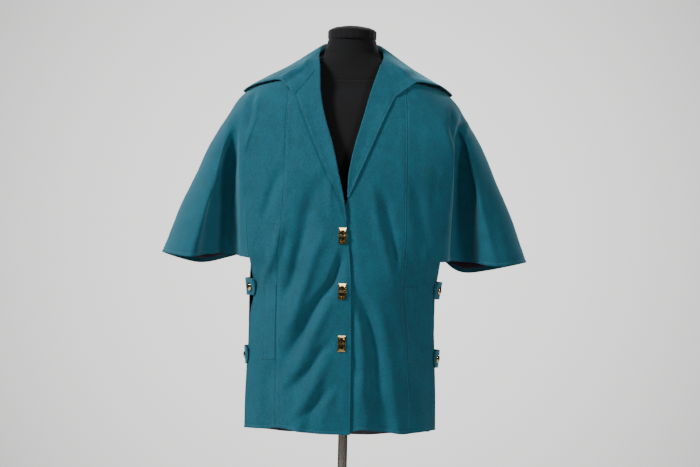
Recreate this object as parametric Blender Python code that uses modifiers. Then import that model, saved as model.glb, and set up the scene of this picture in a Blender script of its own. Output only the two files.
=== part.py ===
"""Cape-sleeve suede jacket on a dress form with a steel pole and a round base.

Metres, +Z up. The origin is the centre of the base's underside. The jacket's front faces -Y,
and the wearer's right side lies at -X. Every cloth piece is a thin wall whose points come from
three surfaces: a front and a back height field, and a sleeve spline that joins them.
"""

from bisect import bisect_right
from collections import namedtuple
from math import cos, exp, pi, radians, sin

import bmesh
import bpy
import numpy as np
from mathutils import Matrix, Vector

# Cloth sizes
SUEDE = 0.0016
SATIN = 0.0010
GAP = 0.0003
HEM_FRONT = 0.704
HEM_BACK = 0.671
HEM_BACK_RISE = 0.034
CAPE_FRONT = 1.064
CAPE_BACK = 1.080
NECK_FRONT = 1.4746
NECK_SIDE = 1.494
NECK_BACK = 1.497
NOTCH_HEIGHT = 1.4085
CENTRE_SHIFT = -0.0068
CENTRE_TOP = 1.50
CENTRE_FULL = 1.42
FRONT_POWER = 2.6
BACK_POWER = 2.5
SEAM_BLEND = 0.020
UNDERLAP = 0.0042
LINING_GAP = 0.0006
LAPEL_GAP = 0.0006
WELT_GAP = 0.0012
COLLAR_LIFT = SUEDE + 0.0026
WELT_TOP = 1.010
WELT_BOTTOM = 0.853
WELT_WIDTH = 0.028
WELT_START = 0.0022

# Dress form and stand
POLE_RADIUS = 0.010
BASE_RADIUS = 0.165
BASE_HEIGHT = 0.014
FORM_BOTTOM = 0.790
SHOULDER_SEAT = 0.0041
NECK_TOP = 1.534
CAP_RADIUS = 0.052
CAP_HEIGHT = 0.0220
CAP_DOME = 0.0085
NECK_LEAN = 0.11
NECK_LEAN_START = 1.45

# Clasps and studs
CLASP_WIDTH = 0.0168
CLASP_HEIGHT = 0.0340
CLASP_DEPTH = 0.0024
SLOT_WIDTH = 0.0070
SLOT_HEIGHT = 0.0228
POST_RADIUS = 0.0020
LEVER_LENGTH = 0.0186
LEVER_WIDTH = 0.0042
LEVER_DEPTH = 0.0030
BASE_PLATE = 0.0008
BASE_SPREAD = 0.0030
STUD_RADIUS = 0.0080
STUD_HEIGHT = 0.0030
TAB_HEIGHT = 0.037
TAB_TILT = 0.10
TAB_LAP_FRONT = 0.0045
TAB_LAP_BACK = 0.0130
STUD_PLACE = 0.36

# Rows of cells: below the sleeve's hem, and beside the sleeve from its hem to the neck. The
# lapels turn and the side fronts end on rows, so pieces that meet share their edge points.
BODY_ROWS = 13
CAPE_ROWS = 16
BREAK_ROW_RIGHT = 3
BREAK_ROW_LEFT = 5
SIDE_FRONT_ROW = 15
BACK_COLUMNS = 14
SLEEVE_COLUMNS = 20
SLEEVE_LINING_ROWS = 8
BACK_LINING_ROWS = 14
LINING_START = 0.14
FRONT_COLUMNS = 7
SIDE_FRONT_COLUMNS = 4
CAPE_STEP = (NECK_FRONT - CAPE_FRONT) / CAPE_ROWS
BREAK_RIGHT = CAPE_FRONT + BREAK_ROW_RIGHT * CAPE_STEP
BREAK_LEFT = CAPE_FRONT + BREAK_ROW_LEFT * CAPE_STEP
SIDE_FRONT_TOP = CAPE_FRONT + (SIDE_FRONT_ROW + 0.01) * CAPE_STEP

Fold = namedtuple("Fold", "height wide_top wide_bottom low high line")
Piece = namedtuple("Piece", "sign edge lapel sleeve")


class Table:
    """Rows of named columns over a key, joined by smooth cubic pieces."""

    def __init__(self, columns, rows):
        data = np.array(rows, dtype=float)
        names = columns.split()
        self.key = data[:, 0].tolist()
        self.values = {name: data[:, i].tolist() for i, name in enumerate(names)}
        self.slopes = {name: np.gradient(data[:, i], data[:, 0]).tolist()
                       for i, name in enumerate(names)}

    def at(self, name, key):
        """Value of one column at a key, held at its end value outside the rows."""
        key = min(max(key, self.key[0]), self.key[-1])
        i = min(bisect_right(self.key, key) - 1, len(self.key) - 2)
        span = self.key[i + 1] - self.key[i]
        t = (key - self.key[i]) / span
        value, slope = self.values[name], self.slopes[name]
        start = (1 + 2 * t) * (1 - t) ** 2 * value[i] + t * (1 - t) ** 2 * span * slope[i]
        end = t * t * (3 - 2 * t) * value[i + 1] - t * t * (1 - t) * span * slope[i + 1]
        return start + end


def fold(height, wide_top, wide_bottom, *line):
    """A fold from its height, its widths and its line."""
    return Fold(height, wide_top, wide_bottom, line[0][0], line[-1][0], Table("height x", line))


# Half of the jacket's section by height: depth at the centre front, the princess seam, the
# seam between front and sleeve, which is the slit's edge below the sleeve; the whole section
# is shifted to one side
FRONT = Table("height depth princess_right princess_left seam_x seam_y shift", (
    (0.660, 0.150, 0.1340, 0.1480, 0.2025, -0.050, 0.0000),
    (0.720, 0.149, 0.1345, 0.1472, 0.2020, -0.051, -0.0006),
    (0.780, 0.148, 0.1350, 0.1455, 0.2012, -0.052, -0.0010),
    (0.860, 0.146, 0.1360, 0.1372, 0.1980, -0.054, -0.0010),
    (0.930, 0.144, 0.1370, 0.1303, 0.1950, -0.056, -0.0012),
    (0.962, 0.1435, 0.1370, 0.1274, 0.1930, -0.057, 0.0004),
    (0.995, 0.143, 0.1370, 0.1246, 0.1905, -0.058, 0.0034),
    (1.030, 0.142, 0.1373, 0.1250, 0.1950, -0.068, 0.0036),
    (1.065, 0.141, 0.1376, 0.1264, 0.2015, -0.082, 0.0024),
    (1.120, 0.140, 0.1323, 0.1297, 0.2080, -0.088, 0.0033),
    (1.190, 0.140, 0.1290, 0.1290, 0.2135, -0.092, 0.0042),
    (1.260, 0.136, 0.1285, 0.1285, 0.2190, -0.095, 0.0046),
    (1.310, 0.126, 0.1280, 0.1280, 0.2150, -0.096, 0.0048),
    (1.360, 0.112, 0.1270, 0.1270, 0.1935, -0.092, 0.0040),
    (1.400, 0.099, 0.1250, 0.1250, 0.1590, -0.085, 0.0018),
    (1.420, 0.091, 0.1240, 0.1240, 0.1450, -0.080, 0.0008),
    (1.440, 0.082, 0.1200, 0.1200, 0.1300, -0.074, 0.0000),
    (1.455, 0.075, 0.1080, 0.1080, 0.1120, -0.068, 0.0000),
    (1.475, 0.066, 0.0840, 0.0840, 0.0840, -0.059, 0.0000),
    (1.500, 0.052, 0.0680, 0.0680, 0.0690, -0.047, 0.0000),
))

# The back's half section: its depth, and the seam to the sleeve or the slit's edge
BACK = Table("height depth seam_x seam_y shift", (
    (0.640, 0.160, 0.1990, -0.012, -0.0018),
    (0.860, 0.150, 0.1985, -0.014, -0.0018),
    (1.000, 0.146, 0.1985, -0.010, -0.0018),
    (1.060, 0.144, 0.2000, 0.016, -0.0010),
    (1.110, 0.143, 0.2060, 0.052, 0.0000),
    (1.200, 0.142, 0.2150, 0.078, 0.0000),
    (1.270, 0.139, 0.2140, 0.090, 0.0000),
    (1.330, 0.132, 0.2020, 0.098, 0.0000),
    (1.380, 0.121, 0.1760, 0.098, 0.0000),
    (1.420, 0.109, 0.1430, 0.095, 0.0000),
    (1.450, 0.097, 0.1130, 0.088, 0.0000),
    (1.475, 0.086, 0.0860, 0.076, 0.0000),
    (1.500, 0.073, 0.0620, 0.060, 0.0000),
))

# The sleeve's half section: two valleys by the seams, two ridges and the outermost point
SLEEVE_STATIONS = ("height valley_x valley_y ridge_x ridge_y tip back_ridge_x back_ridge_y "
                   "back_valley_x back_valley_y")
SLEEVE_RIGHT = Table(SLEEVE_STATIONS, (
    (1.030, 0.247, -0.024, 0.330, -0.104, 0.4060, 0.330, 0.104, 0.254, 0.040),
    (1.100, 0.245, -0.032, 0.312, -0.099, 0.3790, 0.312, 0.100, 0.251, 0.045),
    (1.170, 0.242, -0.042, 0.294, -0.090, 0.3530, 0.294, 0.092, 0.248, 0.055),
    (1.240, 0.241, -0.054, 0.276, -0.078, 0.3210, 0.276, 0.082, 0.244, 0.068),
    (1.310, 0.240, -0.066, 0.262, -0.062, 0.2900, 0.262, 0.068, 0.240, 0.078),
    (1.370, 0.217, -0.074, 0.241, -0.048, 0.2535, 0.241, 0.054, 0.216, 0.080),
    (1.410, 0.181, -0.069, 0.210, -0.043, 0.2265, 0.208, 0.050, 0.182, 0.076),
    (1.440, 0.151, -0.060, 0.176, -0.034, 0.1900, 0.172, 0.044, 0.146, 0.070),
    (1.470, 0.108, -0.051, 0.121, -0.028, 0.1290, 0.120, 0.036, 0.106, 0.060),
    (1.500, 0.073, -0.036, 0.077, -0.018, 0.0790, 0.077, 0.026, 0.071, 0.046),
))
SLEEVE_LEFT = Table(SLEEVE_STATIONS, (
    (1.030, 0.266, -0.034, 0.335, -0.076, 0.4060, 0.330, 0.104, 0.254, 0.040),
    (1.100, 0.260, -0.036, 0.315, -0.074, 0.3790, 0.312, 0.100, 0.251, 0.045),
    (1.170, 0.255, -0.042, 0.294, -0.070, 0.3530, 0.294, 0.092, 0.248, 0.055),
    (1.240, 0.251, -0.052, 0.276, -0.066, 0.3210, 0.276, 0.082, 0.244, 0.068),
    (1.310, 0.245, -0.062, 0.262, -0.057, 0.2900, 0.262, 0.068, 0.240, 0.078),
    (1.370, 0.219, -0.074, 0.241, -0.048, 0.2535, 0.241, 0.054, 0.216, 0.080),
    (1.410, 0.181, -0.069, 0.210, -0.043, 0.2265, 0.208, 0.050, 0.182, 0.076),
    (1.440, 0.151, -0.060, 0.176, -0.034, 0.1900, 0.172, 0.044, 0.146, 0.070),
    (1.470, 0.108, -0.051, 0.121, -0.028, 0.1290, 0.120, 0.036, 0.106, 0.060),
    (1.500, 0.073, -0.036, 0.077, -0.018, 0.0790, 0.077, 0.026, 0.071, 0.046),
))

# Heights of the sleeve's hem from its front seam (0) round to its back seam (1)
HEM_RIGHT = Table("place height", (
    (0.00, CAPE_FRONT), (0.17, 1.0705), (0.33, 1.0640), (0.50, 1.0710), (0.68, 1.0490),
    (0.83, 1.0620), (1.00, CAPE_BACK),
))
HEM_LEFT = Table("place height", (
    (0.00, CAPE_FRONT), (0.17, 1.0645), (0.33, 1.0580), (0.50, 1.0665), (0.68, 1.0460),
    (0.83, 1.0420), (1.00, CAPE_BACK),
))

# Each lapel's turned edge (roll) and free edge by height
LAPEL_RIGHT = Table("height roll edge", (
    (BREAK_RIGHT, -0.0028, -0.0030), (1.188, -0.0102, -0.0185), (1.246, -0.0236, -0.0470),
    (1.304, -0.0372, -0.0737), (1.363, -0.0548, -0.0980), (1.4085, -0.0640, -0.1160),
    (1.4746, -0.0680, -0.1500),
))
LAPEL_LEFT = Table("height roll edge", (
    (BREAK_LEFT, -0.0010, 0.0000), (1.246, 0.0022, 0.0226), (1.304, 0.0134, 0.0476),
    (1.363, 0.0296, 0.0722), (1.4085, 0.0412, 0.0935), (1.4746, 0.0620, 0.1300),
))

# Free front edges below the break, by height
EDGE_RIGHT = Table("height x", (
    (0.690, 0.0147), (0.919, 0.0117), (1.065, 0.0062), (BREAK_RIGHT, -0.0028),
))
EDGE_LEFT = Table("height x", (
    (0.690, -0.020), (1.060, -0.0185), (1.130, -0.0185), (BREAK_LEFT, -0.0010),
))

# Folds as soft ridges (height above 0) and valleys (below 0): height, width at the top and at
# the bottom, and the line from the bottom up as pairs of height and width from the centre
FOLDS_FRONT = (
    fold(-0.0095, 0.009, 0.016, (0.832, -0.130), (0.861, -0.116), (0.895, -0.096),
         (0.939, -0.078), (0.981, -0.054), (1.016, -0.030), (1.060, -0.015), (1.112, -0.002)),
    fold(0.0060, 0.013, 0.012, (0.890, -0.136), (0.915, -0.123), (0.939, -0.110),
         (0.980, -0.098), (1.019, -0.084), (1.064, -0.072), (1.111, -0.055), (1.150, -0.044)),
    fold(-0.0065, 0.016, 0.012, (0.930, -0.134), (0.969, -0.129), (1.000, -0.120),
         (1.032, -0.110), (1.071, -0.103), (1.117, -0.094), (1.200, -0.073), (1.260, -0.052)),
    fold(0.0050, 0.012, 0.009, (1.000, -0.179), (1.031, -0.169), (1.062, -0.157),
         (1.117, -0.143), (1.160, -0.135)),
    fold(0.0055, 0.010, 0.013, (0.780, -0.138), (0.806, -0.120), (0.830, -0.105),
         (0.864, -0.085), (0.903, -0.068), (0.935, -0.053), (0.971, -0.039), (1.000, -0.027)),
    fold(-0.0050, 0.009, 0.012, (0.770, -0.124), (0.796, -0.105), (0.817, -0.087),
         (0.839, -0.069), (0.865, -0.057), (0.891, -0.037), (0.915, -0.024)),
    fold(0.0048, 0.010, 0.014, (0.690, -0.106), (0.750, -0.091), (0.777, -0.078),
         (0.801, -0.063), (0.831, -0.054), (0.862, -0.041), (0.885, -0.030)),
    fold(-0.0040, 0.010, 0.014, (0.690, -0.078), (0.760, -0.058), (0.790, -0.045),
         (0.825, -0.028)),
    fold(-0.0055, 0.013, 0.018, (0.690, -0.160), (0.745, -0.159), (0.810, -0.157),
         (0.860, -0.151)),
    fold(-0.0040, 0.012, 0.012, (1.140, -0.174), (1.175, -0.167), (1.238, -0.146),
         (1.270, -0.136)),
    fold(-0.0135, 0.011, 0.025, (0.690, 0.085), (0.738, 0.079), (0.776, 0.070), (0.815, 0.065),
         (0.859, 0.062), (0.890, 0.058), (0.924, 0.051), (0.957, 0.040), (1.009, 0.021),
         (1.035, 0.014)),
    fold(0.0040, 0.009, 0.012, (0.740, 0.040), (0.800, 0.039), (0.850, 0.042), (0.900, 0.037),
         (0.965, 0.024)),
    fold(0.0045, 0.014, 0.018, (0.690, 0.116), (0.740, 0.112), (0.800, 0.102), (0.850, 0.094),
         (0.900, 0.083), (0.955, 0.068), (1.010, 0.050)),
    fold(-0.0065, 0.013, 0.010, (1.030, 0.107), (1.062, 0.102), (1.088, 0.097), (1.124, 0.088),
         (1.170, 0.078), (1.225, 0.066)),
    fold(0.0045, 0.014, 0.011, (1.000, 0.104), (1.050, 0.092), (1.100, 0.076), (1.150, 0.060),
         (1.255, 0.040)),
    fold(-0.0042, 0.012, 0.014, (0.850, 0.150), (0.900, 0.146), (0.960, 0.141), (1.037, 0.135),
         (1.100, 0.128)),
    fold(-0.0045, 0.012, 0.012, (1.065, 0.164), (1.139, 0.154), (1.195, 0.142), (1.245, 0.132)),
    fold(0.0040, 0.012, 0.016, (0.690, 0.168), (0.753, 0.159), (0.830, 0.136), (0.882, 0.125),
         (0.950, 0.120)),
)
FOLDS_BACK = (
    fold(-0.0090, 0.016, 0.026, (0.640, 0.062), (0.800, 0.056), (1.000, 0.050), (1.180, 0.034),
         (1.330, 0.018)),
    fold(-0.0080, 0.016, 0.026, (0.640, -0.054), (0.820, -0.046), (1.000, -0.044),
         (1.160, -0.050), (1.300, -0.066)),
    fold(0.0055, 0.014, 0.022, (0.640, 0.004), (0.850, 0.000), (1.050, -0.006), (1.240, -0.018)),
    fold(-0.0080, 0.014, 0.022, (0.640, 0.138), (0.820, 0.132), (1.000, 0.122), (1.150, 0.112),
         (1.270, 0.108)),
    fold(-0.0070, 0.014, 0.022, (0.640, -0.128), (0.820, -0.126), (1.000, -0.120),
         (1.180, -0.104), (1.300, -0.098)),
    fold(0.0055, 0.012, 0.020, (0.640, 0.100), (0.850, 0.092), (1.050, 0.086), (1.200, 0.078)),
    fold(0.0055, 0.012, 0.020, (0.640, -0.092), (0.880, -0.086), (1.080, -0.082),
         (1.240, -0.074)),
    fold(0.0045, 0.010, 0.015, (0.690, 0.170), (0.900, 0.166), (1.080, 0.158)),
    fold(0.0045, 0.010, 0.015, (0.690, -0.164), (0.900, -0.160), (1.120, -0.152)),
)

Tab = namedtuple("Tab", "piece height stand lift")
RIGHT = Piece(-1, EDGE_RIGHT, LAPEL_RIGHT, SLEEVE_RIGHT)
LEFT = Piece(1, EDGE_LEFT, LAPEL_LEFT, SLEEVE_LEFT)
TABS = {
    "right_upper": Tab(RIGHT, 1.003, 0.0075, 0.0028),
    "right_lower": Tab(RIGHT, 0.858, 0.0024, 0.0021),
    "left_upper": Tab(LEFT, 1.003, 0.0080, 0.0024),
    "left_lower": Tab(LEFT, 0.858, 0.0066, 0.0020),
}

# The form's section by height: half width, front and back depth
FORM = Table("height width front back", (
    (0.790, 0.140, 0.088, 0.098),
    (0.805, 0.152, 0.098, 0.108),
    (0.900, 0.163, 0.104, 0.117),
    (0.990, 0.148, 0.095, 0.104),
    (1.100, 0.122, 0.086, 0.080),
    (1.190, 0.134, 0.100, 0.087),
    (1.260, 0.150, 0.113, 0.096),
    (1.330, 0.160, 0.103, 0.102),
    (1.380, 0.176, 0.088, 0.098),
    (1.410, 0.190, 0.074, 0.088),
    (1.428, 0.196, 0.062, 0.078),
    (1.441, 0.192, 0.057, 0.072),
    (1.456, 0.168, 0.053, 0.067),
    (1.470, 0.132, 0.049, 0.062),
    (1.484, 0.092, 0.047, 0.058),
    (1.500, 0.0640, 0.046, 0.056),
    (1.516, 0.0565, 0.046, 0.053),
    (1.534, 0.0510, 0.047, 0.050),
))


def smooth(low, high, value):
    """Eased step from 0 at low to 1 at high."""
    t = min(max((value - low) / (high - low), 0.0), 1.0)
    return t * t * (3 - 2 * t)


def centre(z):
    """The jacket hangs a little to one side below the neck."""
    return CENTRE_SHIFT * smooth(CENTRE_TOP, CENTRE_FULL, z)


def middle_of(table, z):
    """Middle of the front's or the back's section, which is a little off the centre."""
    return centre(z) + table.at("shift", z)


def fold_height(folds, x, z):
    """Sum of soft ridges and valleys beside their lines, each fading at both ends."""
    total = 0.0
    for each in folds:
        share = (z - each.low) / (each.high - each.low)
        if 0.0 < share < 1.0 or share <= 0.0 and each.low < HEM_FRONT:
            lean = (each.line.at("x", z + 0.003) - each.line.at("x", z - 0.003)) / 0.006
            width = each.wide_bottom + (each.wide_top - each.wide_bottom) * share
            across = (x - each.line.at("x", z)) / (width * (1 + lean * lean) ** 0.5)
            start = 1.0 if each.low < HEM_FRONT else smooth(0.0, 0.28, share)
            total += each.height * start * (1 - smooth(0.70, 1.0, share)) * exp(-across * across)
    return total


def front_point(x, z):
    """Point of the fronts' middle surface at a width and a height."""
    half = abs(x - middle_of(FRONT, z))
    seam_x, seam_y = FRONT.at("seam_x", z), FRONT.at("seam_y", z)
    depth = FRONT.at("depth", z)
    y = -depth + (depth + seam_y) * (half / seam_x) ** FRONT_POWER
    return Vector((x, y - fold_height(FOLDS_FRONT, x, z), z))


def back_point(x, z):
    """Point of the back's middle surface at a width and a height."""
    half = abs(x - middle_of(BACK, z))
    seam_x, seam_y = BACK.at("seam_x", z), BACK.at("seam_y", z)
    depth = BACK.at("depth", z)
    y = depth - (depth - seam_y) * (half / seam_x) ** BACK_POWER
    return Vector((x, y + fold_height(FOLDS_BACK, x, z), z))


def sleeve_point(piece, place, z):
    """Point of the sleeve between its front seam (place 0) and its back seam (place 1)."""
    middle = centre(z)
    table = piece.sleeve
    front = front_point(middle_of(FRONT, z) + piece.sign * FRONT.at("seam_x", z), z)
    back = back_point(middle_of(BACK, z) + piece.sign * BACK.at("seam_x", z), z)
    stations = [(abs(front.x - middle), front.y)]
    stations.append((table.at("valley_x", z), table.at("valley_y", z)))
    stations.append((table.at("ridge_x", z), table.at("ridge_y", z)))
    stations.append((table.at("tip", z), 0.0))
    stations.append((table.at("back_ridge_x", z), table.at("back_ridge_y", z)))
    stations.append((table.at("back_valley_x", z), table.at("back_valley_y", z)))
    stations.append((abs(back.x - middle), back.y))
    spot = blend([Vector(station) for station in stations], place)
    return Vector((middle + piece.sign * spot.x, spot.y, z))


def cape_normal(piece, place, z):
    """Normal of a sleeve, from its own surface alone."""
    low, high = max(place - 0.008, 0.0), min(place + 0.008, 1.0)
    along = sleeve_point(piece, high, z) - sleeve_point(piece, low, z)
    up = sleeve_point(piece, place, z + 0.004) - sleeve_point(piece, place, z - 0.004)
    return along.cross(up).normalized() * piece.sign


def seam_normal(piece, z, at_back):
    """Shared direction of both pieces at the seam between a sleeve and the body."""
    table = BACK if at_back else FRONT
    x = middle_of(table, z) + piece.sign * table.at("seam_x", z)
    place = 0.992 if at_back else 0.008
    return (body_normal(x, z, at_back) + cape_normal(piece, place, z)).normalized()


def body_normal(x, z, at_back):
    """Normal of a front or the back, from its own height field alone."""
    point = back_point if at_back else front_point
    along = point(x + 0.004, z) - point(x - 0.004, z)
    up = point(x, z + 0.004) - point(x, z - 0.004)
    normal = along.cross(up).normalized()
    return -normal if at_back else normal


def panel_normal(x, z, at_back=False):
    """Normal of a front or the back, eased into the seam's own direction beside the sleeve."""
    table = BACK if at_back else FRONT
    side = LEFT if x > middle_of(table, z) else RIGHT
    distance = table.at("seam_x", z) - abs(x - middle_of(table, z))
    share = 1 - smooth(0.0, SEAM_BLEND, distance)
    normal = body_normal(x, z, at_back)
    if share > 0:
        normal = normal.lerp(seam_normal(side, z, at_back), share).normalized()
    return normal


def sleeve_normal(piece, place, z):
    """Normal of a sleeve, eased into the seams' own directions at both ends."""
    normal = cape_normal(piece, place, z)
    for at_back in (False, True):
        distance = 1 - place if at_back else place
        share = 1 - smooth(0.0, 0.06, distance)
        if share > 0:
            normal = normal.lerp(seam_normal(piece, z, at_back), share).normalized()
    return normal


def ring_frame(piece, ring, z):
    """Point and normal right round one half: front 0 to 1, sleeve 1 to 2, back 2 to 3."""
    if ring <= 1:
        x = middle_of(FRONT, z) + piece.sign * FRONT.at("seam_x", z) * ring
        return front_point(x, z), panel_normal(x, z)
    if ring <= 2:
        return sleeve_point(piece, ring - 1, z), sleeve_normal(piece, ring - 1, z)
    x = middle_of(BACK, z) + piece.sign * BACK.at("seam_x", z) * (3 - ring)
    return back_point(x, z), panel_normal(x, z, True)


def material(name, color, roughness, metallic=0.0):
    """Plain surface of one colour."""
    surface = bpy.data.materials.new(name)
    surface.use_nodes = True
    shader = surface.node_tree.nodes["Principled BSDF"]
    shader.inputs["Base Color"].default_value = (*color, 1)
    shader.inputs["Roughness"].default_value = roughness
    shader.inputs["Metallic"].default_value = metallic
    return surface


def finish(name, mesh, surface, collection, flat=False):
    """Link a mesh as one named object."""
    thing = bpy.data.objects.new(name, mesh)
    thing.data.materials.append(surface)
    if not flat:
        mesh.shade_smooth()
        mesh.set_sharp_from_angle(angle=radians(40))
    collection.objects.link(thing)
    return thing


def wall(name, columns, rows, place, surface, collection):
    """Grid of cells doubled into a wall; place(u, v, side) puts each point, side is -1 or 1."""
    bm = bmesh.new()
    bmesh.ops.create_grid(bm, x_segments=columns, y_segments=rows, size=0.5)
    bmesh.ops.translate(bm, vec=(0.5, 0.5, -1), verts=bm.verts)
    doubled = bmesh.ops.extrude_face_region(bm, geom=bm.faces[:], use_keep_orig=True)
    lifted = [v for v in doubled["geom"] if isinstance(v, bmesh.types.BMVert)]
    bmesh.ops.translate(bm, vec=(0, 0, 2), verts=lifted)
    for vert in bm.verts:
        vert.co = place(*vert.co)
    bmesh.ops.recalc_face_normals(bm, faces=bm.faces)
    if bm.calc_volume(signed=True) < 0:
        bmesh.ops.reverse_faces(bm, faces=bm.faces)
    mesh = bpy.data.meshes.new(name)
    bm.to_mesh(mesh)
    bm.free()
    return finish(name, mesh, surface, collection)


def underlap(piece, x, z):
    """How far the left front steps in to pass under the right one."""
    if piece is RIGHT:
        return 0.0
    edge = EDGE_RIGHT.at("x", z) if z < BREAK_RIGHT else LAPEL_RIGHT.at("roll", z)
    fade = 1 - smooth(1.19, 1.24, z)
    return UNDERLAP * fade * (1 - smooth(edge + 0.003, edge + 0.022, x))


def front_outer(piece, z):
    """Width at which a front meets its side front, or the sleeve above it."""
    if z > SIDE_FRONT_TOP:
        return middle_of(FRONT, z) + piece.sign * FRONT.at("seam_x", z)
    column = "princess_left" if piece is LEFT else "princess_right"
    return centre(z) + piece.sign * FRONT.at(column, z)


def front_inner(piece, z):
    """Width of a front's free edge, or of the lapel's turned edge above the break."""
    start = piece.lapel.key[0]
    return piece.edge.at("x", z) if z < start else piece.lapel.at("roll", z)


def front_level(row):
    """Height of a front's row of points, counted from its hem."""
    if row <= BODY_ROWS:
        return HEM_FRONT + (CAPE_FRONT - HEM_FRONT) * row / BODY_ROWS
    return CAPE_FRONT + (row - BODY_ROWS) * CAPE_STEP


def build_front(piece, name, surface, collection):
    """Front from its free edge to the princess seam, from the hem to the neck."""
    rows = BODY_ROWS + CAPE_ROWS

    def place(u, v, side):
        z = front_level(v * rows)
        inner = front_inner(piece, z)
        outer = front_outer(piece, z) - piece.sign * GAP / 2
        x = inner + (outer - inner) * u
        normal = panel_normal(x, z)
        inward = underlap(piece, x, z)
        return front_point(x, z) + normal * (side * SUEDE / 2 - inward)

    return wall(name, FRONT_COLUMNS, rows, place, surface, collection)


def build_side_front(piece, name, surface, collection):
    """Side front from the princess seam to the sleeve seam and the slit's edge."""
    rows = BODY_ROWS + SIDE_FRONT_ROW

    def place(u, v, side):
        z = front_level(v * rows)
        inner = front_outer(piece, z) + piece.sign * GAP / 2
        outer = middle_of(FRONT, z) + piece.sign * (FRONT.at("seam_x", z) - GAP / 2)
        x = inner + (outer - inner) * u
        return front_point(x, z) + panel_normal(x, z) * side * SUEDE / 2

    return wall(name, SIDE_FRONT_COLUMNS, rows, place, surface, collection)


def back_hem(x):
    """The back is longer than the front and rises a little at the sides."""
    return HEM_BACK + HEM_BACK_RISE * (abs(x) / 0.21) ** 2


def back_level(row, x_hem):
    """Height of the back's row of points, counted from its hem."""
    if row <= BODY_ROWS:
        return back_hem(x_hem) + (CAPE_BACK - back_hem(x_hem)) * row / BODY_ROWS
    return CAPE_BACK + (NECK_BACK - CAPE_BACK) * (row - BODY_ROWS) / CAPE_ROWS


def build_back(name, surface, collection):
    """Back from slit to slit below and from sleeve to sleeve above."""
    rows = BODY_ROWS + CAPE_ROWS

    def place(u, v, side):
        z = back_level(v * rows, (u * 2 - 1) * BACK.at("seam_x", HEM_BACK))
        x = middle_of(BACK, z) + (u * 2 - 1) * (BACK.at("seam_x", z) - GAP / 2)
        return back_point(x, z) + panel_normal(x, z, True) * side * SUEDE / 2

    return wall(name, BACK_COLUMNS, rows, place, surface, collection)


def sleeve_level(hem, place, row):
    """Height of a sleeve's row of points; at both seams it is the body's own row."""
    share = row / CAPE_ROWS
    front = CAPE_FRONT + (NECK_FRONT - CAPE_FRONT) * share
    back = CAPE_BACK + (NECK_BACK - CAPE_BACK) * share
    level = front + (back - front) * place
    drop = hem.at("height", place) - (CAPE_FRONT + (CAPE_BACK - CAPE_FRONT) * place)
    top = NECK_SIDE - (NECK_FRONT + NECK_BACK) / 2
    return level + drop * (1 - share) ** 2 + top * share ** 2 * (1 - (place * 2 - 1) ** 2)


def build_sleeve(piece, hem, name, surface, collection):
    """Cape sleeve from the neck over the shoulder to its open hem."""
    def place(u, v, side):
        spot = 0.0012 + u * 0.9976
        z = sleeve_level(hem, u, v * CAPE_ROWS)
        return sleeve_point(piece, spot, z) + sleeve_normal(piece, spot, z) * side * SUEDE / 2

    return wall(name, SLEEVE_COLUMNS, CAPE_ROWS, place, surface, collection)


def build_sleeve_lining(piece, hem, name, surface, collection):
    """Satin inside a sleeve, on the sleeve's own points, from just above its hem."""
    inset = SUEDE / 2 + LINING_GAP + SATIN / 2
    columns = SLEEVE_COLUMNS - 2

    def place(u, v, side):
        spot = (1 + u * columns) / SLEEVE_COLUMNS
        z = sleeve_level(hem, spot, max(v * SLEEVE_LINING_ROWS, LINING_START))
        return sleeve_point(piece, spot, z) + sleeve_normal(piece, spot, z) * (
            side * SATIN / 2 - inset)

    return wall(name, columns, SLEEVE_LINING_ROWS, place, surface, collection)


def build_back_lining(name, surface, collection):
    """Satin inside the back, on the back's own points, from just above its hem."""
    inset = SUEDE / 2 + LINING_GAP + SATIN / 2

    def place(u, v, side):
        row = max(v * BACK_LINING_ROWS, LINING_START)
        z = back_level(row, (u * 2 - 1) * BACK.at("seam_x", HEM_BACK))
        x = middle_of(BACK, z) + (u * 2 - 1) * (BACK.at("seam_x", z) - GAP / 2)
        return back_point(x, z) + panel_normal(x, z, True) * (side * SATIN / 2 - inset)

    return wall(name, BACK_COLUMNS, BACK_LINING_ROWS, place, surface, collection)


def lapel_spot(piece, u, v):
    """Width and height on a lapel: v along the roll, u from the roll to the free edge."""
    start = piece.lapel.key[0]
    roll_z = start + (NECK_FRONT - start) * v
    edge_z = start + (NOTCH_HEIGHT - start) * v
    roll_x = piece.lapel.at("roll", roll_z)
    edge_x = piece.lapel.at("edge", edge_z)
    return roll_x + (edge_x - roll_x) * u, roll_z + (edge_z - roll_z) * u


def build_lapel(piece, name, surface, collection):
    """Turned-out facing that lies on a front, fuller along the roll."""
    def place(u, v, side):
        x, z = lapel_spot(piece, u, 0.015 + v * 0.985)
        lift = SUEDE + LAPEL_GAP + 0.0022 * (1 - u) ** 2 * smooth(0.0, 0.15, v)
        normal = panel_normal(x, z)
        inward = underlap(piece, x, z)
        return front_point(x, z) + normal * (side * SUEDE / 2 + lift - inward)

    return wall(name, 3, 14, place, surface, collection)


# The collar on each half, by its run from the gorge (0) to the centre back (1): where its
# free edge lies on the jacket, where it starts on the neck, and its roll line in space
COLLAR = Table("run edge_ring edge_z neck_ring roll_x roll_y roll_z", (
    (0.00, 0.715, 1.4105, 0.985, 0.0655, -0.0620, 1.4825),
    (0.14, 1.05, 1.4370, 1.080, 0.0665, -0.0480, 1.4910),
    (0.27, 1.25, 1.4315, 1.200, 0.0660, -0.0330, 1.5015),
    (0.38, 1.37, 1.4240, 1.300, 0.0640, -0.0200, 1.5115),
    (0.48, 1.47, 1.4165, 1.450, 0.0600, -0.0050, 1.5225),
    (0.60, 1.66, 1.4150, 1.650, 0.0540, 0.0200, 1.5310),
    (0.72, 1.88, 1.4210, 1.900, 0.0430, 0.0440, 1.5350),
    (0.86, 2.30, 1.4310, 2.400, 0.0240, 0.0610, 1.5370),
    (1.00, 3.00, 1.4350, 3.000, 0.0000, 0.0660, 1.5380),
))
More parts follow.
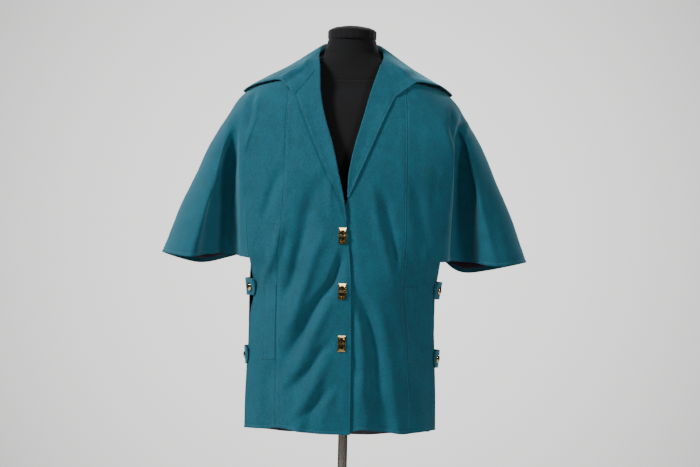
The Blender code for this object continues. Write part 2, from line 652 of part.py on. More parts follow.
STAND_SHARE = 0.24
STAND_BOW = 0.0015
NECK_CLEARANCE = 0.0030
FALL_CROWN = 0.0045
ROLL_HOLD = 0.46


def neck_level(ring):
    """Height of the jacket's neck edge around one half."""
    return sleeve_level(HEM_RIGHT, min(max(ring - 1, 0), 1), CAPE_ROWS)


def collar_point(run, across):
    """Middle surface of the collar: run 0 to 2 from gorge to gorge, across 0 neck to 1 edge."""
    piece = RIGHT if run < 1 else LEFT
    at = run if run < 1 else 2 - run
    neck_ring, edge_ring = COLLAR.at("neck_ring", at), COLLAR.at("edge_ring", at)
    neck_z = neck_level(neck_ring)
    roll_x = centre(neck_z) + piece.sign * COLLAR.at("roll_x", at)
    roll = Vector((roll_x, COLLAR.at("roll_y", at), COLLAR.at("roll_z", at)))
    neck, out = ring_frame(piece, neck_ring, neck_z)
    if across < STAND_SHARE:
        t = across / STAND_SHARE
        start = neck + Vector((0, 0, NECK_CLEARANCE))
        return start.lerp(roll, t) - out * sin(pi * t) * STAND_BOW
    t = (across - STAND_SHARE) / (1 - STAND_SHARE)
    z = neck_z + (COLLAR.at("edge_z", at) - neck_z) * t
    spot, spot_out = ring_frame(piece, neck_ring + (edge_ring - neck_ring) * t, z)
    gorge = smooth(0.0, 0.16, at)
    hold = (1 - t) * (1 - gorge) + (1 - smooth(0.0, ROLL_HOLD, t)) ** 1.2 * gorge
    crown = FALL_CROWN * sin(pi * min(t / 0.7, 1.0))
    return (spot + spot_out * (COLLAR_LIFT + crown)
            + (roll - neck - out * COLLAR_LIFT) * hold)


def build_collar(name, surface, collection):
    """Wide pointed collar: a stand inside the neck and a fall over the shoulders."""
    def place(u, v, side):
        run, across = u * 2, v
        step = 0.012
        along = collar_point(min(run + step, 2), across) - collar_point(max(run - step, 0), across)
        down = collar_point(run, min(across + step, 1)) - collar_point(run, max(across - step, 0))
        normal = along.cross(down).normalized()
        return collar_point(run, across) + normal * side * SUEDE / 2

    return wall(name, 32, 12, place, surface, collection)


def build_welt(piece, name, surface, collection):
    """Pocket welt beside the princess seam, on the side front."""
    def place(u, v, side):
        z = WELT_BOTTOM + (WELT_TOP - WELT_BOTTOM) * v
        x = front_outer(piece, z) + piece.sign * (WELT_START + WELT_WIDTH * u)
        lift = SUEDE + WELT_GAP
        normal = panel_normal(x, z)
        return front_point(x, z) + normal * (side * SUEDE / 2 + lift)

    return wall(name, 2, 6, place, surface, collection)


def blend(points, along):
    """Point on a smooth curve through a few points, by its share of the way."""
    last = len(points) - 1
    i = min(max(int(along * last), 0), last - 1)
    t = along * last - i
    start, end = points[i], points[i + 1]
    before = points[i - 1] if i > 0 else start * 2 - end
    after = points[i + 2] if i + 2 <= last else end * 2 - start
    leave, arrive = (end - before) / 2, (after - start) / 2
    return (start * (1 + 2 * t) * (1 - t) ** 2 + leave * t * (1 - t) ** 2
            + end * t * t * (3 - 2 * t) - arrive * t * t * (1 - t))


def edge_spot(tab, table, z, inset):
    """Point of a tab over a slit's edge, on the front or the back, some way in from it."""
    at_back = table is BACK
    x = middle_of(table, z) + tab.piece.sign * (table.at("seam_x", z) - inset)
    surface = back_point if at_back else front_point
    return surface(x, z) + body_normal(x, z, at_back) * tab.lift


def tab_spot(tab, along, z):
    """Outer path of a side tab from the front's edge (0) over the slit onto the back (1)."""
    start, end = edge_spot(tab, FRONT, z, 0.0), edge_spot(tab, BACK, z, 0.0)
    middle = start.lerp(end, 0.5) + Vector((tab.piece.sign * tab.stand, 0, 0))
    spots = [edge_spot(tab, FRONT, z, TAB_LAP_FRONT), start, middle, end]
    spots.append(edge_spot(tab, BACK, z, TAB_LAP_BACK))
    spot = blend(spots, along)
    run = blend(spots, min(along + 0.02, 1)) - blend(spots, max(along - 0.02, 0))
    return spot, run.cross(Vector((0, 0, tab.piece.sign))).normalized()


def tab_surface(tab, along, rise):
    """Point of a tab's middle surface, tipped outward at its top, and the way out of it."""
    spot, out = tab_spot(tab, along, tab.height + rise)
    return spot + out * max(rise + TAB_HEIGHT / 2, 0.0) * TAB_TILT, out


def build_tab(tab, name, surface, collection):
    """Strap over the slit: its front end is a blunt point, its back end is sewn down."""
    def place(u, v, side):
        reach = TAB_HEIGHT / 2 * (1 - 0.75 * (1 - smooth(0.0, 0.22, u)) ** 1.5)
        spot, out = tab_surface(tab, u, (v * 2 - 1) * reach)
        return spot + out * side * SUEDE / 2

    return wall(name, 12, 3, place, surface, collection)


def turned(name, profile, steps, surface, collection):
    """Turned solid about +Z from (radius, height) pairs, outer side top to bottom."""
    mesh = bpy.data.meshes.new(name)
    bm = bmesh.new()
    verts = [bm.verts.new((radius, 0, height)) for radius, height in profile]
    for start, end in zip(verts, verts[1:]):
        bm.edges.new((start, end))
    bm.to_mesh(mesh)
    bm.free()
    thing = finish(name, mesh, surface, collection, flat=True)
    screw = thing.modifiers.new("turn", "SCREW")
    screw.steps = steps
    screw.render_steps = steps
    screw.use_merge_vertices = True
    screw.merge_threshold = 0.00005
    screw.use_smooth_shade = True
    return thing


def aim(out, up=Vector((0, 0, 1))):
    """Rotation that turns +Z to an outward direction and keeps +Y near up."""
    side = up.cross(out).normalized()
    lift = out.cross(side).normalized()
    return Matrix((side, lift, out)).transposed().to_4x4()


def build_stud(tab, name, surface, collection):
    """Round domed stud that stands on the highest point of a tab's front end."""
    spot, out = tab_surface(tab, STUD_PLACE, 0.0)
    out = (out - Vector((0, 0, TAB_TILT))).normalized()
    under = [tab_surface(tab, STUD_PLACE + along / 50, rise / 8 * STUD_RADIUS)[0]
             for along in range(-14, 18) for rise in range(-8, 9)]
    under = [point - spot for point in under if (point - spot).length < STUD_RADIUS]
    highest = max(offset.dot(out) for offset in under)
    seat = spot + out * (highest + SUEDE / 2 + GAP)
    profile = [(0.0, STUD_HEIGHT), (0.35 * STUD_RADIUS, 0.95 * STUD_HEIGHT)]
    profile += [(0.75 * STUD_RADIUS, 0.72 * STUD_HEIGHT), (STUD_RADIUS, 0.3 * STUD_HEIGHT)]
    profile += [(STUD_RADIUS, 0.0), (0.0, 0.0)]
    stud = turned(name, profile, 16, surface, collection)
    stud.matrix_world = Matrix.Translation(seat) @ aim(out)
    return stud


def rounded_block(bm, size, bevel, segments):
    """Box of a size about the origin with all edges rounded."""
    cube = bmesh.ops.create_cube(bm, size=1.0)
    bmesh.ops.scale(bm, vec=size, verts=cube["verts"])
    edges = list({edge for vert in cube["verts"] for edge in vert.link_edges})
    bmesh.ops.bevel(bm, geom=edges, offset=bevel, offset_type="OFFSET", segments=segments,
                    profile=0.5, affect="EDGES", clamp_overlap=True)


def slot_cutter(name, width, height, depth, collection):
    """Upright oblong cutter with round ends."""
    curve = bpy.data.curves.new(name, "CURVE")
    curve.dimensions = "2D"
    curve.fill_mode = "BOTH"
    curve.extrude = depth / 2
    outline = curve.splines.new("POLY")
    points = []
    for end, start in ((1, 0.0), (-1, pi)):
        for k in range(7):
            angle = start + pi * k / 6
            points.append((width / 2 * cos(angle),
                           end * (height - width) / 2 + width / 2 * sin(angle)))
    outline.points.add(len(points) - 1)
    for point, (x, y) in zip(outline.points, points):
        point.co = (x, y, 0, 1)
    outline.use_cyclic_u = True
    shape = bpy.data.objects.new(name, curve)
    collection.objects.link(shape)
    bpy.context.view_layer.update()
    solid = bpy.data.meshes.new_from_object(shape.evaluated_get(bpy.context.evaluated_depsgraph_get()))
    bm = bmesh.new()
    bm.from_mesh(solid)
    bmesh.ops.remove_doubles(bm, verts=bm.verts, dist=0.00001)
    bm.to_mesh(solid)
    bm.free()
    bpy.data.objects.remove(shape)
    cutter = bpy.data.objects.new(name, solid)
    cutter.hide_render = True
    cutter.display_type = "WIRE"
    collection.objects.link(cutter)
    return cutter


def cut(thing, cutter):
    """Subtract a cutter."""
    boolean = thing.modifiers.new("slot", "BOOLEAN")
    boolean.object = cutter
    boolean.operation = "DIFFERENCE"


CLASP_X = {1.1150: -0.0100, 0.9995: -0.0082, 0.8912: -0.0070}


def clasp_frame(height):
    """Place of a clasp on the right front: its centre, outward direction and turn."""
    x = CLASP_X[height]
    out = panel_normal(x, height)
    spot = front_point(x, height)
    return spot, out


def build_clasp(number, height, front, surface, collection, guides):
    """Turn-lock clasp: a bevelled slotted plate, a base under it and a turn lever."""
    spot, out = clasp_frame(height)
    turn = aim(out)
    seat = SUEDE / 2 + GAP

    bm = bmesh.new()
    rounded_block(bm, (CLASP_WIDTH, CLASP_HEIGHT, CLASP_DEPTH), 0.0009, 1)
    mesh = bpy.data.meshes.new(f"clasp_{number}_plate")
    bm.to_mesh(mesh)
    bm.free()
    plate = finish(f"clasp_{number}_plate", mesh, surface, collection, flat=True)
    plate.matrix_world = Matrix.Translation(spot + out * (seat + CLASP_DEPTH / 2)) @ turn
    slot = slot_cutter(f"slot_{number}", SLOT_WIDTH, SLOT_HEIGHT, 0.03, guides)
    slot.matrix_world = Matrix.Translation(spot) @ turn
    cut(plate, slot)
    cut(front, slot)

    bm = bmesh.new()
    foot = bmesh.ops.create_cone(bm, cap_ends=True, segments=20, radius1=BASE_SPREAD,
                                 radius2=BASE_SPREAD, depth=BASE_PLATE)
    bmesh.ops.translate(bm, vec=(0, 0, BASE_PLATE / 2), verts=foot["verts"])
    mesh = bpy.data.meshes.new(f"clasp_{number}_base")
    bm.to_mesh(mesh)
    bm.free()
    base = finish(f"clasp_{number}_base", mesh, surface, collection, flat=True)
    foot_level = -UNDERLAP + SUEDE / 2 + GAP * 2
    base.matrix_world = Matrix.Translation(spot + out * foot_level) @ turn

    post_start = foot_level + BASE_PLATE + GAP
    lever_start = seat + CLASP_DEPTH + 0.0006
    bm = bmesh.new()
    post = bmesh.ops.create_cone(bm, cap_ends=True, segments=16, radius1=POST_RADIUS,
                                 radius2=POST_RADIUS, depth=lever_start - post_start + 0.001)
    bmesh.ops.translate(bm, vec=(0, 0, (post_start + lever_start + 0.001) / 2),
                        verts=post["verts"])
    mesh = bpy.data.meshes.new(f"clasp_{number}_post")
    bm.to_mesh(mesh)
    bm.free()
    shaft = bpy.data.objects.new(f"clasp_{number}_post", mesh)
    shaft.hide_render = True
    shaft.display_type = "WIRE"
    shaft.matrix_world = Matrix.Translation(spot) @ turn
    guides.objects.link(shaft)

    bm = bmesh.new()
    rounded_block(bm, (LEVER_LENGTH, LEVER_WIDTH, LEVER_DEPTH), 0.0009, 2)
    bmesh.ops.translate(bm, vec=(0, 0, lever_start + LEVER_DEPTH / 2), verts=bm.verts)
    mesh = bpy.data.meshes.new(f"clasp_{number}_lever")
    bm.to_mesh(mesh)
    bm.free()
    lever = finish(f"clasp_{number}_lever", mesh, surface, collection, flat=True)
    lever.matrix_world = Matrix.Translation(spot) @ turn
    union = lever.modifiers.new("post", "BOOLEAN")
    union.object = shaft
    union.operation = "UNION"


def neck_lean(z):
    """How far the form's neck leans to the front at a height."""
    return -max(z - NECK_LEAN_START, 0.0) * NECK_LEAN


def build_form(surface, collection):
    """Torso and neck of the form: stacked oval sections, closed below and above."""
    heights = [*np.linspace(0.790, 0.805, 3), *np.linspace(0.85, 1.35, 11)]
    heights += [1.385, 1.405, 1.420, 1.432, 1.441, 1.450, 1.460, 1.470, 1.480, 1.492, 1.508]
    heights += [1.522, NECK_TOP]
    steps = 24
    bm = bmesh.new()
    rings = []
    for z in heights:
        width = min(FORM.at("width", z), SLEEVE_RIGHT.at("tip", z) - SHOULDER_SEAT)
        ring = []
        for k in range(steps):
            angle = 2 * pi * k / steps
            depth = FORM.at("back" if sin(angle) > 0 else "front", z)
            lean = neck_lean(z)
            ring.append(bm.verts.new((centre(z) + width * cos(angle),
                                      depth * sin(angle) + lean, z)))
        rings.append(ring)
    for low, high in zip(rings, rings[1:]):
        for k in range(steps):
            after = (k + 1) % steps
            bm.faces.new((low[k], low[after], high[after], high[k]))
    bm.faces.new(list(reversed(rings[0])))
    bm.faces.new(rings[-1])
    mesh = bpy.data.meshes.new("form_torso")
    bm.to_mesh(mesh)
    bm.free()
    return finish("form_torso", mesh, surface, collection)


def build_cap(surface, collection):
    """Neck cap: a short domed disc that follows the neck's tilt."""
    profile = [(0.0, CAP_HEIGHT + CAP_DOME), (0.40 * CAP_RADIUS, CAP_HEIGHT + 0.84 * CAP_DOME)]
    profile += [(0.75 * CAP_RADIUS, CAP_HEIGHT + 0.44 * CAP_DOME)]
    profile += [(0.95 * CAP_RADIUS, CAP_HEIGHT - 0.001), (CAP_RADIUS, CAP_HEIGHT - 0.004)]
    profile += [(CAP_RADIUS, 0.003), (0.97 * CAP_RADIUS, 0.0), (0.0, 0.0)]
    cap = turned("form_neck_cap", profile, 24, surface, collection)
    cap.location = (0, neck_lean(NECK_TOP), NECK_TOP + GAP)
    return cap


def build_stand(steel, collection):
    """Pole from the base up into the form, and a low round base."""
    top = FORM_BOTTOM - GAP
    pole = [(0.0, top), (POLE_RADIUS, top), (POLE_RADIUS, BASE_HEIGHT + GAP)]
    pole.append((0.0, BASE_HEIGHT + GAP))
    turned("stand_pole", pole, 24, steel, collection)
    rim = BASE_HEIGHT * 0.45
    base = [(0.0, BASE_HEIGHT), (BASE_RADIUS * 0.55, BASE_HEIGHT)]
    base += [(BASE_RADIUS * 0.93, BASE_HEIGHT * 0.72), (BASE_RADIUS, rim)]
    base += [(BASE_RADIUS, 0.0), (0.0, 0.0)]
    turned("stand_base", base, 36, steel, collection)


def main():
    """Clear the scene and build every piece."""
    for thing in list(bpy.data.objects):
        bpy.data.objects.remove(thing)
    jacket = bpy.data.collections.new("cape_sleeve_jacket")
    guides = bpy.data.collections.new("guides")
    bpy.context.scene.collection.children.link(jacket)
    bpy.context.scene.collection.children.link(guides)

    suede = material("teal suede", (0.010, 0.120, 0.165), 0.9)
    satin = material("plum satin", (0.060, 0.020, 0.050), 0.4)
    brass = material("polished brass", (0.80, 0.58, 0.25), 0.2, 1.0)
    jersey = material("black jersey", (0.012, 0.012, 0.014), 0.85)
    steel = material("brushed steel", (0.60, 0.58, 0.55), 0.25, 1.0)

    right_front = build_front(RIGHT, "front_right", suede, jacket)
    build_front(LEFT, "front_left", suede, jacket)
    build_side_front(RIGHT, "side_front_right", suede, jacket)
    build_side_front(LEFT, "side_front_left", suede, jacket)
    build_back("back", suede, jacket)
    for piece, hem, side in ((RIGHT, HEM_RIGHT, "right"), (LEFT, HEM_LEFT, "left")):
        build_sleeve(piece, hem, f"sleeve_{side}", suede, jacket)
        build_sleeve_lining(piece, hem, f"sleeve_lining_{side}", satin, jacket)
        build_lapel(piece, f"lapel_{side}", suede, jacket)
        build_welt(piece, f"pocket_welt_{side}", suede, jacket)
    for place, tab in TABS.items():
        build_tab(tab, f"tab_{place}", suede, jacket)
        build_stud(tab, f"tab_stud_{place}", brass, jacket)
    build_back_lining("back_lining", satin, jacket)
    build_collar("collar", suede, jacket)
    for number, height in enumerate(CLASP_X, start=1):
        build_clasp(number, height, right_front, brass, jacket, guides)
    build_form(jersey, jacket)
    build_cap(jersey, jacket)
    build_stand(steel, jacket)


main()
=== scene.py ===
"""Cape-sleeve suede jacket on a dress form: cloth, sewing, metal, form, stage and camera.

Each cloth piece is a thin shell on the form of its solid. Its surface is worked out for a whole
grid of points at once, and its folds, seams and stitches are put in one by one.
"""

from collections import namedtuple
from math import cos, exp, pi, radians, sin, tan

import bmesh
import bpy
import numpy as np
from mathutils import Matrix, Vector


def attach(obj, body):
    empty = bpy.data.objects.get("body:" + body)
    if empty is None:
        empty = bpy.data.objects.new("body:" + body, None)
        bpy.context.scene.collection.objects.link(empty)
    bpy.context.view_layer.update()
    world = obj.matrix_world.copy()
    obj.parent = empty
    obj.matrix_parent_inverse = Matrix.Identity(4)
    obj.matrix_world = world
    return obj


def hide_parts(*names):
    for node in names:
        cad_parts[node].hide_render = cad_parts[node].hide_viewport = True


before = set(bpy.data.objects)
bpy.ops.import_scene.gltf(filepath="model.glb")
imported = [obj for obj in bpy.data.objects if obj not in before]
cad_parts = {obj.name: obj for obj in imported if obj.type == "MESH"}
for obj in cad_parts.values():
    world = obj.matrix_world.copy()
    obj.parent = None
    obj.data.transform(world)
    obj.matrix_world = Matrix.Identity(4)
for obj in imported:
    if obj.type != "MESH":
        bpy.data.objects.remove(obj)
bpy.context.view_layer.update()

bl_info = {
    "name": "Cape-Sleeve Suede Jacket",
    "version": (1, 0, 0),
    "blender": (4, 5, 0),
    "location": "View3D > Sidebar > Jacket",
    "description": "Builds a suede jacket with cape sleeves on a dress form, and its stage",
    "category": "Object",
}

BODY = "jacket_on_form"
LEVERS = ("turn_lever_1", "turn_lever_2", "turn_lever_3")

# Both sides: -1 is the wearer's right, at the left of the picture
SIDES = ((-1, "right"), (1, "left"))

# Cloth and its gaps
SUEDE = 0.0016
SATIN = 0.0010
RIM = 0.00055
SEAM_GAP = 0.0003
LINING_GAP = 0.0006
LINING_INSET = -(SUEDE / 2 + LINING_GAP + SATIN / 2)
STITCH_SHARE = 0.72

# How uneven each kind of piece is
UNEVEN_FRONT = 0.0005
UNEVEN_BACK = 0.0006
UNEVEN_SLEEVE = 0.0007
UNEVEN_TAB = 0.0003

# Borders: how deep and wide a seam sinks in, where each row of stitches runs, its groove, the roll
# between it and the edge, and the pucker round it
SEAM_SINK = 0.0007
SEAM_WIDTH = 0.0014
FELLED_WIDTH = 0.0012
STITCH_LINES = {"edge": 0.0031, "hem": 0.0056, "felled": 0.0031}
GROOVE_DEPTH = 0.00042
GROOVE_WIDTH = 0.0009
EDGE_ROLL = 0.00025
PUCKER_HEIGHT = 0.00034
PUCKER_WIDTH = 0.0075
PUCKER_LENGTH = 0.0105

# Places of the first columns or rows from a border, which hold its seam or stitches
BORDER = np.array([0.0, 0.0007, 0.0015, 0.0023, 0.0031, 0.0040, 0.0056, 0.0085])

# Rows and columns of the back and of the sleeves that their linings follow
BACK_LINING = (slice(2, 140, 2), slice(None, None, 2))
SLEEVE_LINING = (slice(7, 64, 2), slice(4, -4, 2))

# Levels of hems, neck, notch and breaks, which the solids have too
HEM_FRONT = 0.704
HEM_BACK = 0.671
HEM_BACK_RISE = 0.040
HEM_BACK_HALF = 0.21
HEM_FADE = 0.07
CAPE_FRONT = 1.064
CAPE_BACK = 1.080
SLIT_FADE = 0.03
NECK_FRONT = 1.4746
NECK_SIDE = 1.494
NECK_BACK = 1.497
NOTCH_HEIGHT = 1.4085
SIDE_FRONT_TOP = 1.4487
BREAK_RIGHT = 1.1410
BREAK_LEFT = 1.1923
BREAKS = {-1: BREAK_RIGHT, 1: BREAK_LEFT}

# Sections of the body
CENTRE_SHIFT = -0.0068
FRONT_POWER = 2.6
BACK_POWER = 2.5
UNDERLAP = 0.0042
SHOULDER_SEAT = 0.0041

# How deep the fronts' own folds are, as a share of those of the solids
FOLD_SHARE = 1.20

# Steps for the slope of the fronts and the back, of the tabs and clasps, and of the collar
STEP = 0.002
TRIM_STEP = 0.004
RING_STEPS = (0.01, 0.003)

# Lapels and collar
LAPEL_GAP = 0.0006
LAPEL_ROLL_LIFT = 0.0022
LAPEL_EDGE_LIFT = 0.0016
LAPEL_LEVEL = SUEDE + 0.0008
COLLAR_LIFT = SUEDE + 0.0014
COLLAR_EDGE_LIFT = 0.0012
COLLAR_OUTWARD = (0.0, -0.2, 1.0)
NOTCH_LIFT = 0.0020
NECK_FALL_LIFT = 0.0008
ROLL_HOLD = 0.41
TIP_LIFTS = {-1: 0.0022, 1: 0.0070}
TIP_PLACE = 0.31
TIP_SPREAD = 0.13
FALL_CROWN = 0.0028
STAND_SHARE = 0.24
STAND_START = 0.0008
STAND_HOLLOW = 0.0025
CORNER_DROP = 0.0022

# Pocket welts
WELT_SUEDE = 0.0009
WELT_LIFT = SUEDE / 2 + WELT_SUEDE / 2 + 0.0002
WELT_TOP = 1.010
WELT_BOTTOM = 0.853
WELT_WIDTH = 0.028
WELT_START = 0.0022

# Dress form
NECK_LEAN = 0.11
NECK_LEAN_START = 1.45
NECK_SEAM = 1.4455
NECK_SEAM_RISE = 0.024
FORM_SHARES = (0.0, 0.42, 0.74, 1.0)
FORM_ROWS = (0.790, 1.425, 1.475, 1.534)

# Side tabs: sign, level, how far each stands off the slit, and its lift over the cloth
TAB_HEIGHT = 0.037
TAB_TILT = 0.10
TAB_LAP_FRONT = 0.0045
TAB_LAP_BACK = 0.0130
TABS = {
    "right_upper": (-1, 1.003, 0.0075, 0.0028), "right_lower": (-1, 0.858, 0.0024, 0.0021),
    "left_upper": (1, 1.003, 0.0080, 0.0024), "left_lower": (1, 0.858, 0.0066, 0.0020),
}

# Clasps, studs and the stitched corner above the first clasp, by width and level
CLASPS = ((-0.0100, 1.1150), (-0.0082, 0.9995), (-0.0070, 0.8912))
CLASP_WIDTH = 0.0168
CLASP_HEIGHT = 0.0340
CLASP_DEPTH = 0.0018
CLASP_BULGE = 0.0011
SLOT_WIDTH = 0.0080
SLOT_HEIGHT = 0.0228
LEVER_LENGTH = 0.0186
LEVER_WIDTH = 0.0042
SEWN_CORNER = ((-0.0370, 1.2240), (-0.0360, 1.1700), (-0.0150, 1.1710))

# Across and up the dome of a stud, as shares of its radius and depth
STUD_PROFILE = ((0.86, 0.0), (0.97, 0.10), (1.0, 0.24), (0.97, 0.36), (0.90, 0.46), (0.82, 0.50),
                (0.76, 0.60), (0.62, 0.78), (0.42, 0.91), (0.20, 0.98), (0.06, 1.0))

# Camera and floor
CAMERA_SPOT = (0.00505, -4.0, 1.12)
CAMERA_TURN = radians(1.35)
CAMERA_HALF_ANGLE = radians(10.65)
SENSOR = 36.0
FLOOR_RADIUS = 4.4

Fold = namedtuple("Fold", "height wide_top wide_bottom low high line")


class Table:
    """Rows of named columns over a key, joined by smooth cubic pieces."""

    def __init__(self, columns, rows):
        data = np.array(rows, dtype=float)
        self.key = data[:, 0]
        self.values = {name: data[:, i] for i, name in enumerate(columns.split())}

    def at(self, name, key):
        """Values of one column at keys, held at the end values outside the rows."""
        value = self.values[name]
        slope = np.gradient(value, self.key)
        key = np.clip(key, self.key[0], self.key[-1])
        i = np.clip(np.searchsorted(self.key, key, side="right") - 1, 0, len(self.key) - 2)
        span = self.key[i + 1] - self.key[i]
        t = (key - self.key[i]) / span
        start = (1 + 2 * t) * (1 - t) ** 2 * value[i] + t * (1 - t) ** 2 * span * slope[i]
        return (start + t * t * (3 - 2 * t) * value[i + 1]
                - t * t * (1 - t) * span * slope[i + 1])


def in_mm(columns, rows):
    """Table of rows in millimetres, for use in metres."""
    return Table(columns, np.array(rows) / 1000)


FRONT = in_mm("height depth princess_right princess_left seam_x seam_y shift", (
    (660, 150, 134, 148, 202.5, -50, 0), (720, 149, 134.5, 147.2, 202, -51, -0.6),
    (780, 148, 135, 145.5, 201.2, -52, -1), (860, 146, 136, 137.2, 198, -54, -1),
    (930, 144, 137, 130.3, 195, -56, -1.2), (962, 143.5, 137, 127.4, 193, -57, 0.4),
    (995, 143, 137, 124.6, 190.5, -58, 3.4), (1030, 142, 137.3, 125, 195, -68, 3.6),
    (1065, 141, 137.6, 126.4, 201.5, -82, 2.4), (1120, 140, 132.3, 129.7, 208, -88, 3.3),
    (1190, 140, 129, 129, 213.5, -92, 4.2), (1260, 136, 128.5, 128.5, 219, -95, 4.6),
    (1310, 126, 128, 128, 215, -96, 4.8), (1360, 112, 127, 127, 193.5, -92, 4),
    (1400, 99, 125, 125, 159, -85, 1.8), (1420, 91, 124, 124, 145, -80, 0.8),
    (1440, 82, 120, 120, 130, -74, 0), (1455, 75, 108, 108, 112, -68, 0),
    (1475, 66, 84, 84, 84, -59, 0), (1500, 52, 68, 68, 69, -47, 0),
))

BACK = in_mm("height depth seam_x seam_y shift", (
    (640, 160, 199, -12, -1.8), (860, 150, 198.5, -14, -1.8), (1000, 146, 198.5, -10, -1.8),
    (1060, 144, 200, 16, -1), (1110, 143, 206, 52, 0), (1200, 142, 215, 78, 0),
    (1270, 139, 214, 90, 0), (1330, 132, 202, 98, 0), (1380, 121, 176, 98, 0),
    (1420, 109, 143, 95, 0), (1450, 97, 113, 88, 0), (1475, 86, 86, 76, 0), (1500, 73, 62, 60, 0),
))

# Sleeves: what both share by height (the tip, the back ridge and the back valley), and the
# front valley and front ridge of each
SLEEVE_BACKS = (
    (1030, 406, 330, 104, 254, 40), (1100, 379, 312, 100, 251, 45), (1170, 353, 294, 92, 248, 55),
    (1240, 321, 276, 82, 244, 68), (1310, 290, 262, 68, 240, 78), (1370, 253.5, 241, 54, 216, 80),
    (1410, 226.5, 208, 50, 182, 76), (1440, 190, 172, 44, 146, 70), (1470, 129, 120, 36, 106, 60),
    (1500, 79, 77, 26, 71, 46),
)
SHOULDER_FRONTS = ((181, -69, 210, -43), (151, -60, 176, -34), (108, -51, 121, -28), (73, -36, 77, -18))
SLEEVE_FRONTS = {
    -1: ((247, -24, 330, -104), (245, -32, 312, -99), (242, -42, 294, -90), (241, -54, 276, -78),
         (240, -66, 262, -62), (217, -74, 241, -48), *SHOULDER_FRONTS),
    1: ((266, -34, 335, -76), (260, -36, 315, -74), (255, -42, 294, -70), (251, -52, 276, -66),
        (245, -62, 262, -57), (219, -74, 241, -48), *SHOULDER_FRONTS),
}
SLEEVES = {sign: in_mm("height tip back_ridge_x back_ridge_y back_valley_x back_valley_y "
                       "valley_x valley_y ridge_x ridge_y",
                       [back + front for back, front in zip(SLEEVE_BACKS, fronts)])
           for sign, fronts in SLEEVE_FRONTS.items()}

# How far the hem of each front lies above its level, by width
HEM_LINES = {
    -1: in_mm("x rise", (
        (-206, 0), (-160, 3.4), (-136, 7.7), (-115, 5.5), (-90, 1.5), (-50, -0.5), (0, -1), (15, -1.2),
    )),
    1: in_mm("x rise", (
        (-20, 2), (15, 4), (36, 9.2), (56, 7.4), (78, 4.8), (100, 2.7), (125, -0.3), (150, 1.2),
        (175, 3), (196, 4),
    )),
}
CAPE_HEMS = {
    -1: Table("place height", (
        (0.00, CAPE_FRONT), (0.17, 1.0705), (0.33, 1.0640), (0.50, 1.0710), (0.68, 1.0490),
        (0.83, 1.0620), (1.00, CAPE_BACK),
    )),
    1: Table("place height", (
        (0.00, CAPE_FRONT), (0.17, 1.0645), (0.33, 1.0580), (0.50, 1.0665), (0.68, 1.0460),
        (0.83, 1.0420), (1.00, CAPE_BACK),
    )),
}
LAPELS = {
    -1: Table("height roll edge", (
        (BREAK_RIGHT, -0.0028, -0.0030), (1.188, -0.0102, -0.0185), (1.246, -0.0236, -0.0470),
        (1.304, -0.0372, -0.0737), (1.363, -0.0548, -0.0980), (1.4085, -0.0640, -0.1160),
        (1.4746, -0.0680, -0.1500),
    )),
    1: Table("height roll edge", (
        (BREAK_LEFT, -0.0010, 0.0000), (1.246, 0.0022, 0.0226), (1.304, 0.0134, 0.0476),
        (1.363, 0.0296, 0.0722), (1.4085, 0.0412, 0.0935), (1.4746, 0.0620, 0.1300),
    )),
}
EDGES = {
    -1: Table("height x", (
        (0.690, 0.0147), (0.919, 0.0117), (1.065, 0.0062), (BREAK_RIGHT, -0.0028),
    )),
    1: Table("height x", (
        (0.690, -0.020), (1.060, -0.0185), (1.130, -0.0185), (BREAK_LEFT, -0.0010),
    )),
}
COLLAR = Table("run edge_ring edge_z neck_ring roll_x roll_y roll_z", (
    (0.00, 0.715, 1.4105, 0.985, 0.0655, -0.0620, 1.4825),
    (0.14, 1.05, 1.4370, 1.080, 0.0665, -0.0480, 1.4910),
    (0.27, 1.25, 1.4315, 1.200, 0.0660, -0.0330, 1.5015),
    (0.38, 1.37, 1.4240, 1.300, 0.0640, -0.0200, 1.5115),
    (0.48, 1.47, 1.4165, 1.450, 0.0600, -0.0050, 1.5225),
    (0.60, 1.66, 1.4150, 1.650, 0.0540, 0.0200, 1.5310),
    (0.72, 1.88, 1.4210, 1.900, 0.0430, 0.0440, 1.5350),
    (0.86, 2.30, 1.4310, 2.400, 0.0240, 0.0610, 1.5370),
    (1.00, 3.00, 1.4350, 3.000, 0.0000, 0.0660, 1.5380),
))
FORM = in_mm("height width front back", (
    (790, 140, 88, 98), (805, 152, 98, 108), (900, 163, 104, 117), (990, 148, 95, 104),
    (1100, 122, 86, 80), (1190, 134, 100, 87), (1260, 150, 113, 96), (1330, 160, 103, 102),
    (1380, 176, 88, 98), (1410, 190, 74, 88), (1428, 196, 62, 78), (1441, 192, 57, 72),
    (1456, 168, 53, 67), (1470, 132, 49, 62), (1484, 92, 47, 58), (1500, 64, 46, 56),
    (1516, 56.5, 46, 53), (1534, 51, 47, 50),
))


def fold(*sizes):
    """A fold in millimetres: its height, its widths at the top and the bottom, and its line."""
    height, wide_top, wide_bottom, *line = np.array(sizes) / 1000
    line = np.reshape(line, (-1, 2))
    return Fold(height, wide_top, wide_bottom, line[0][0], line[-1][0], Table("height x", line))


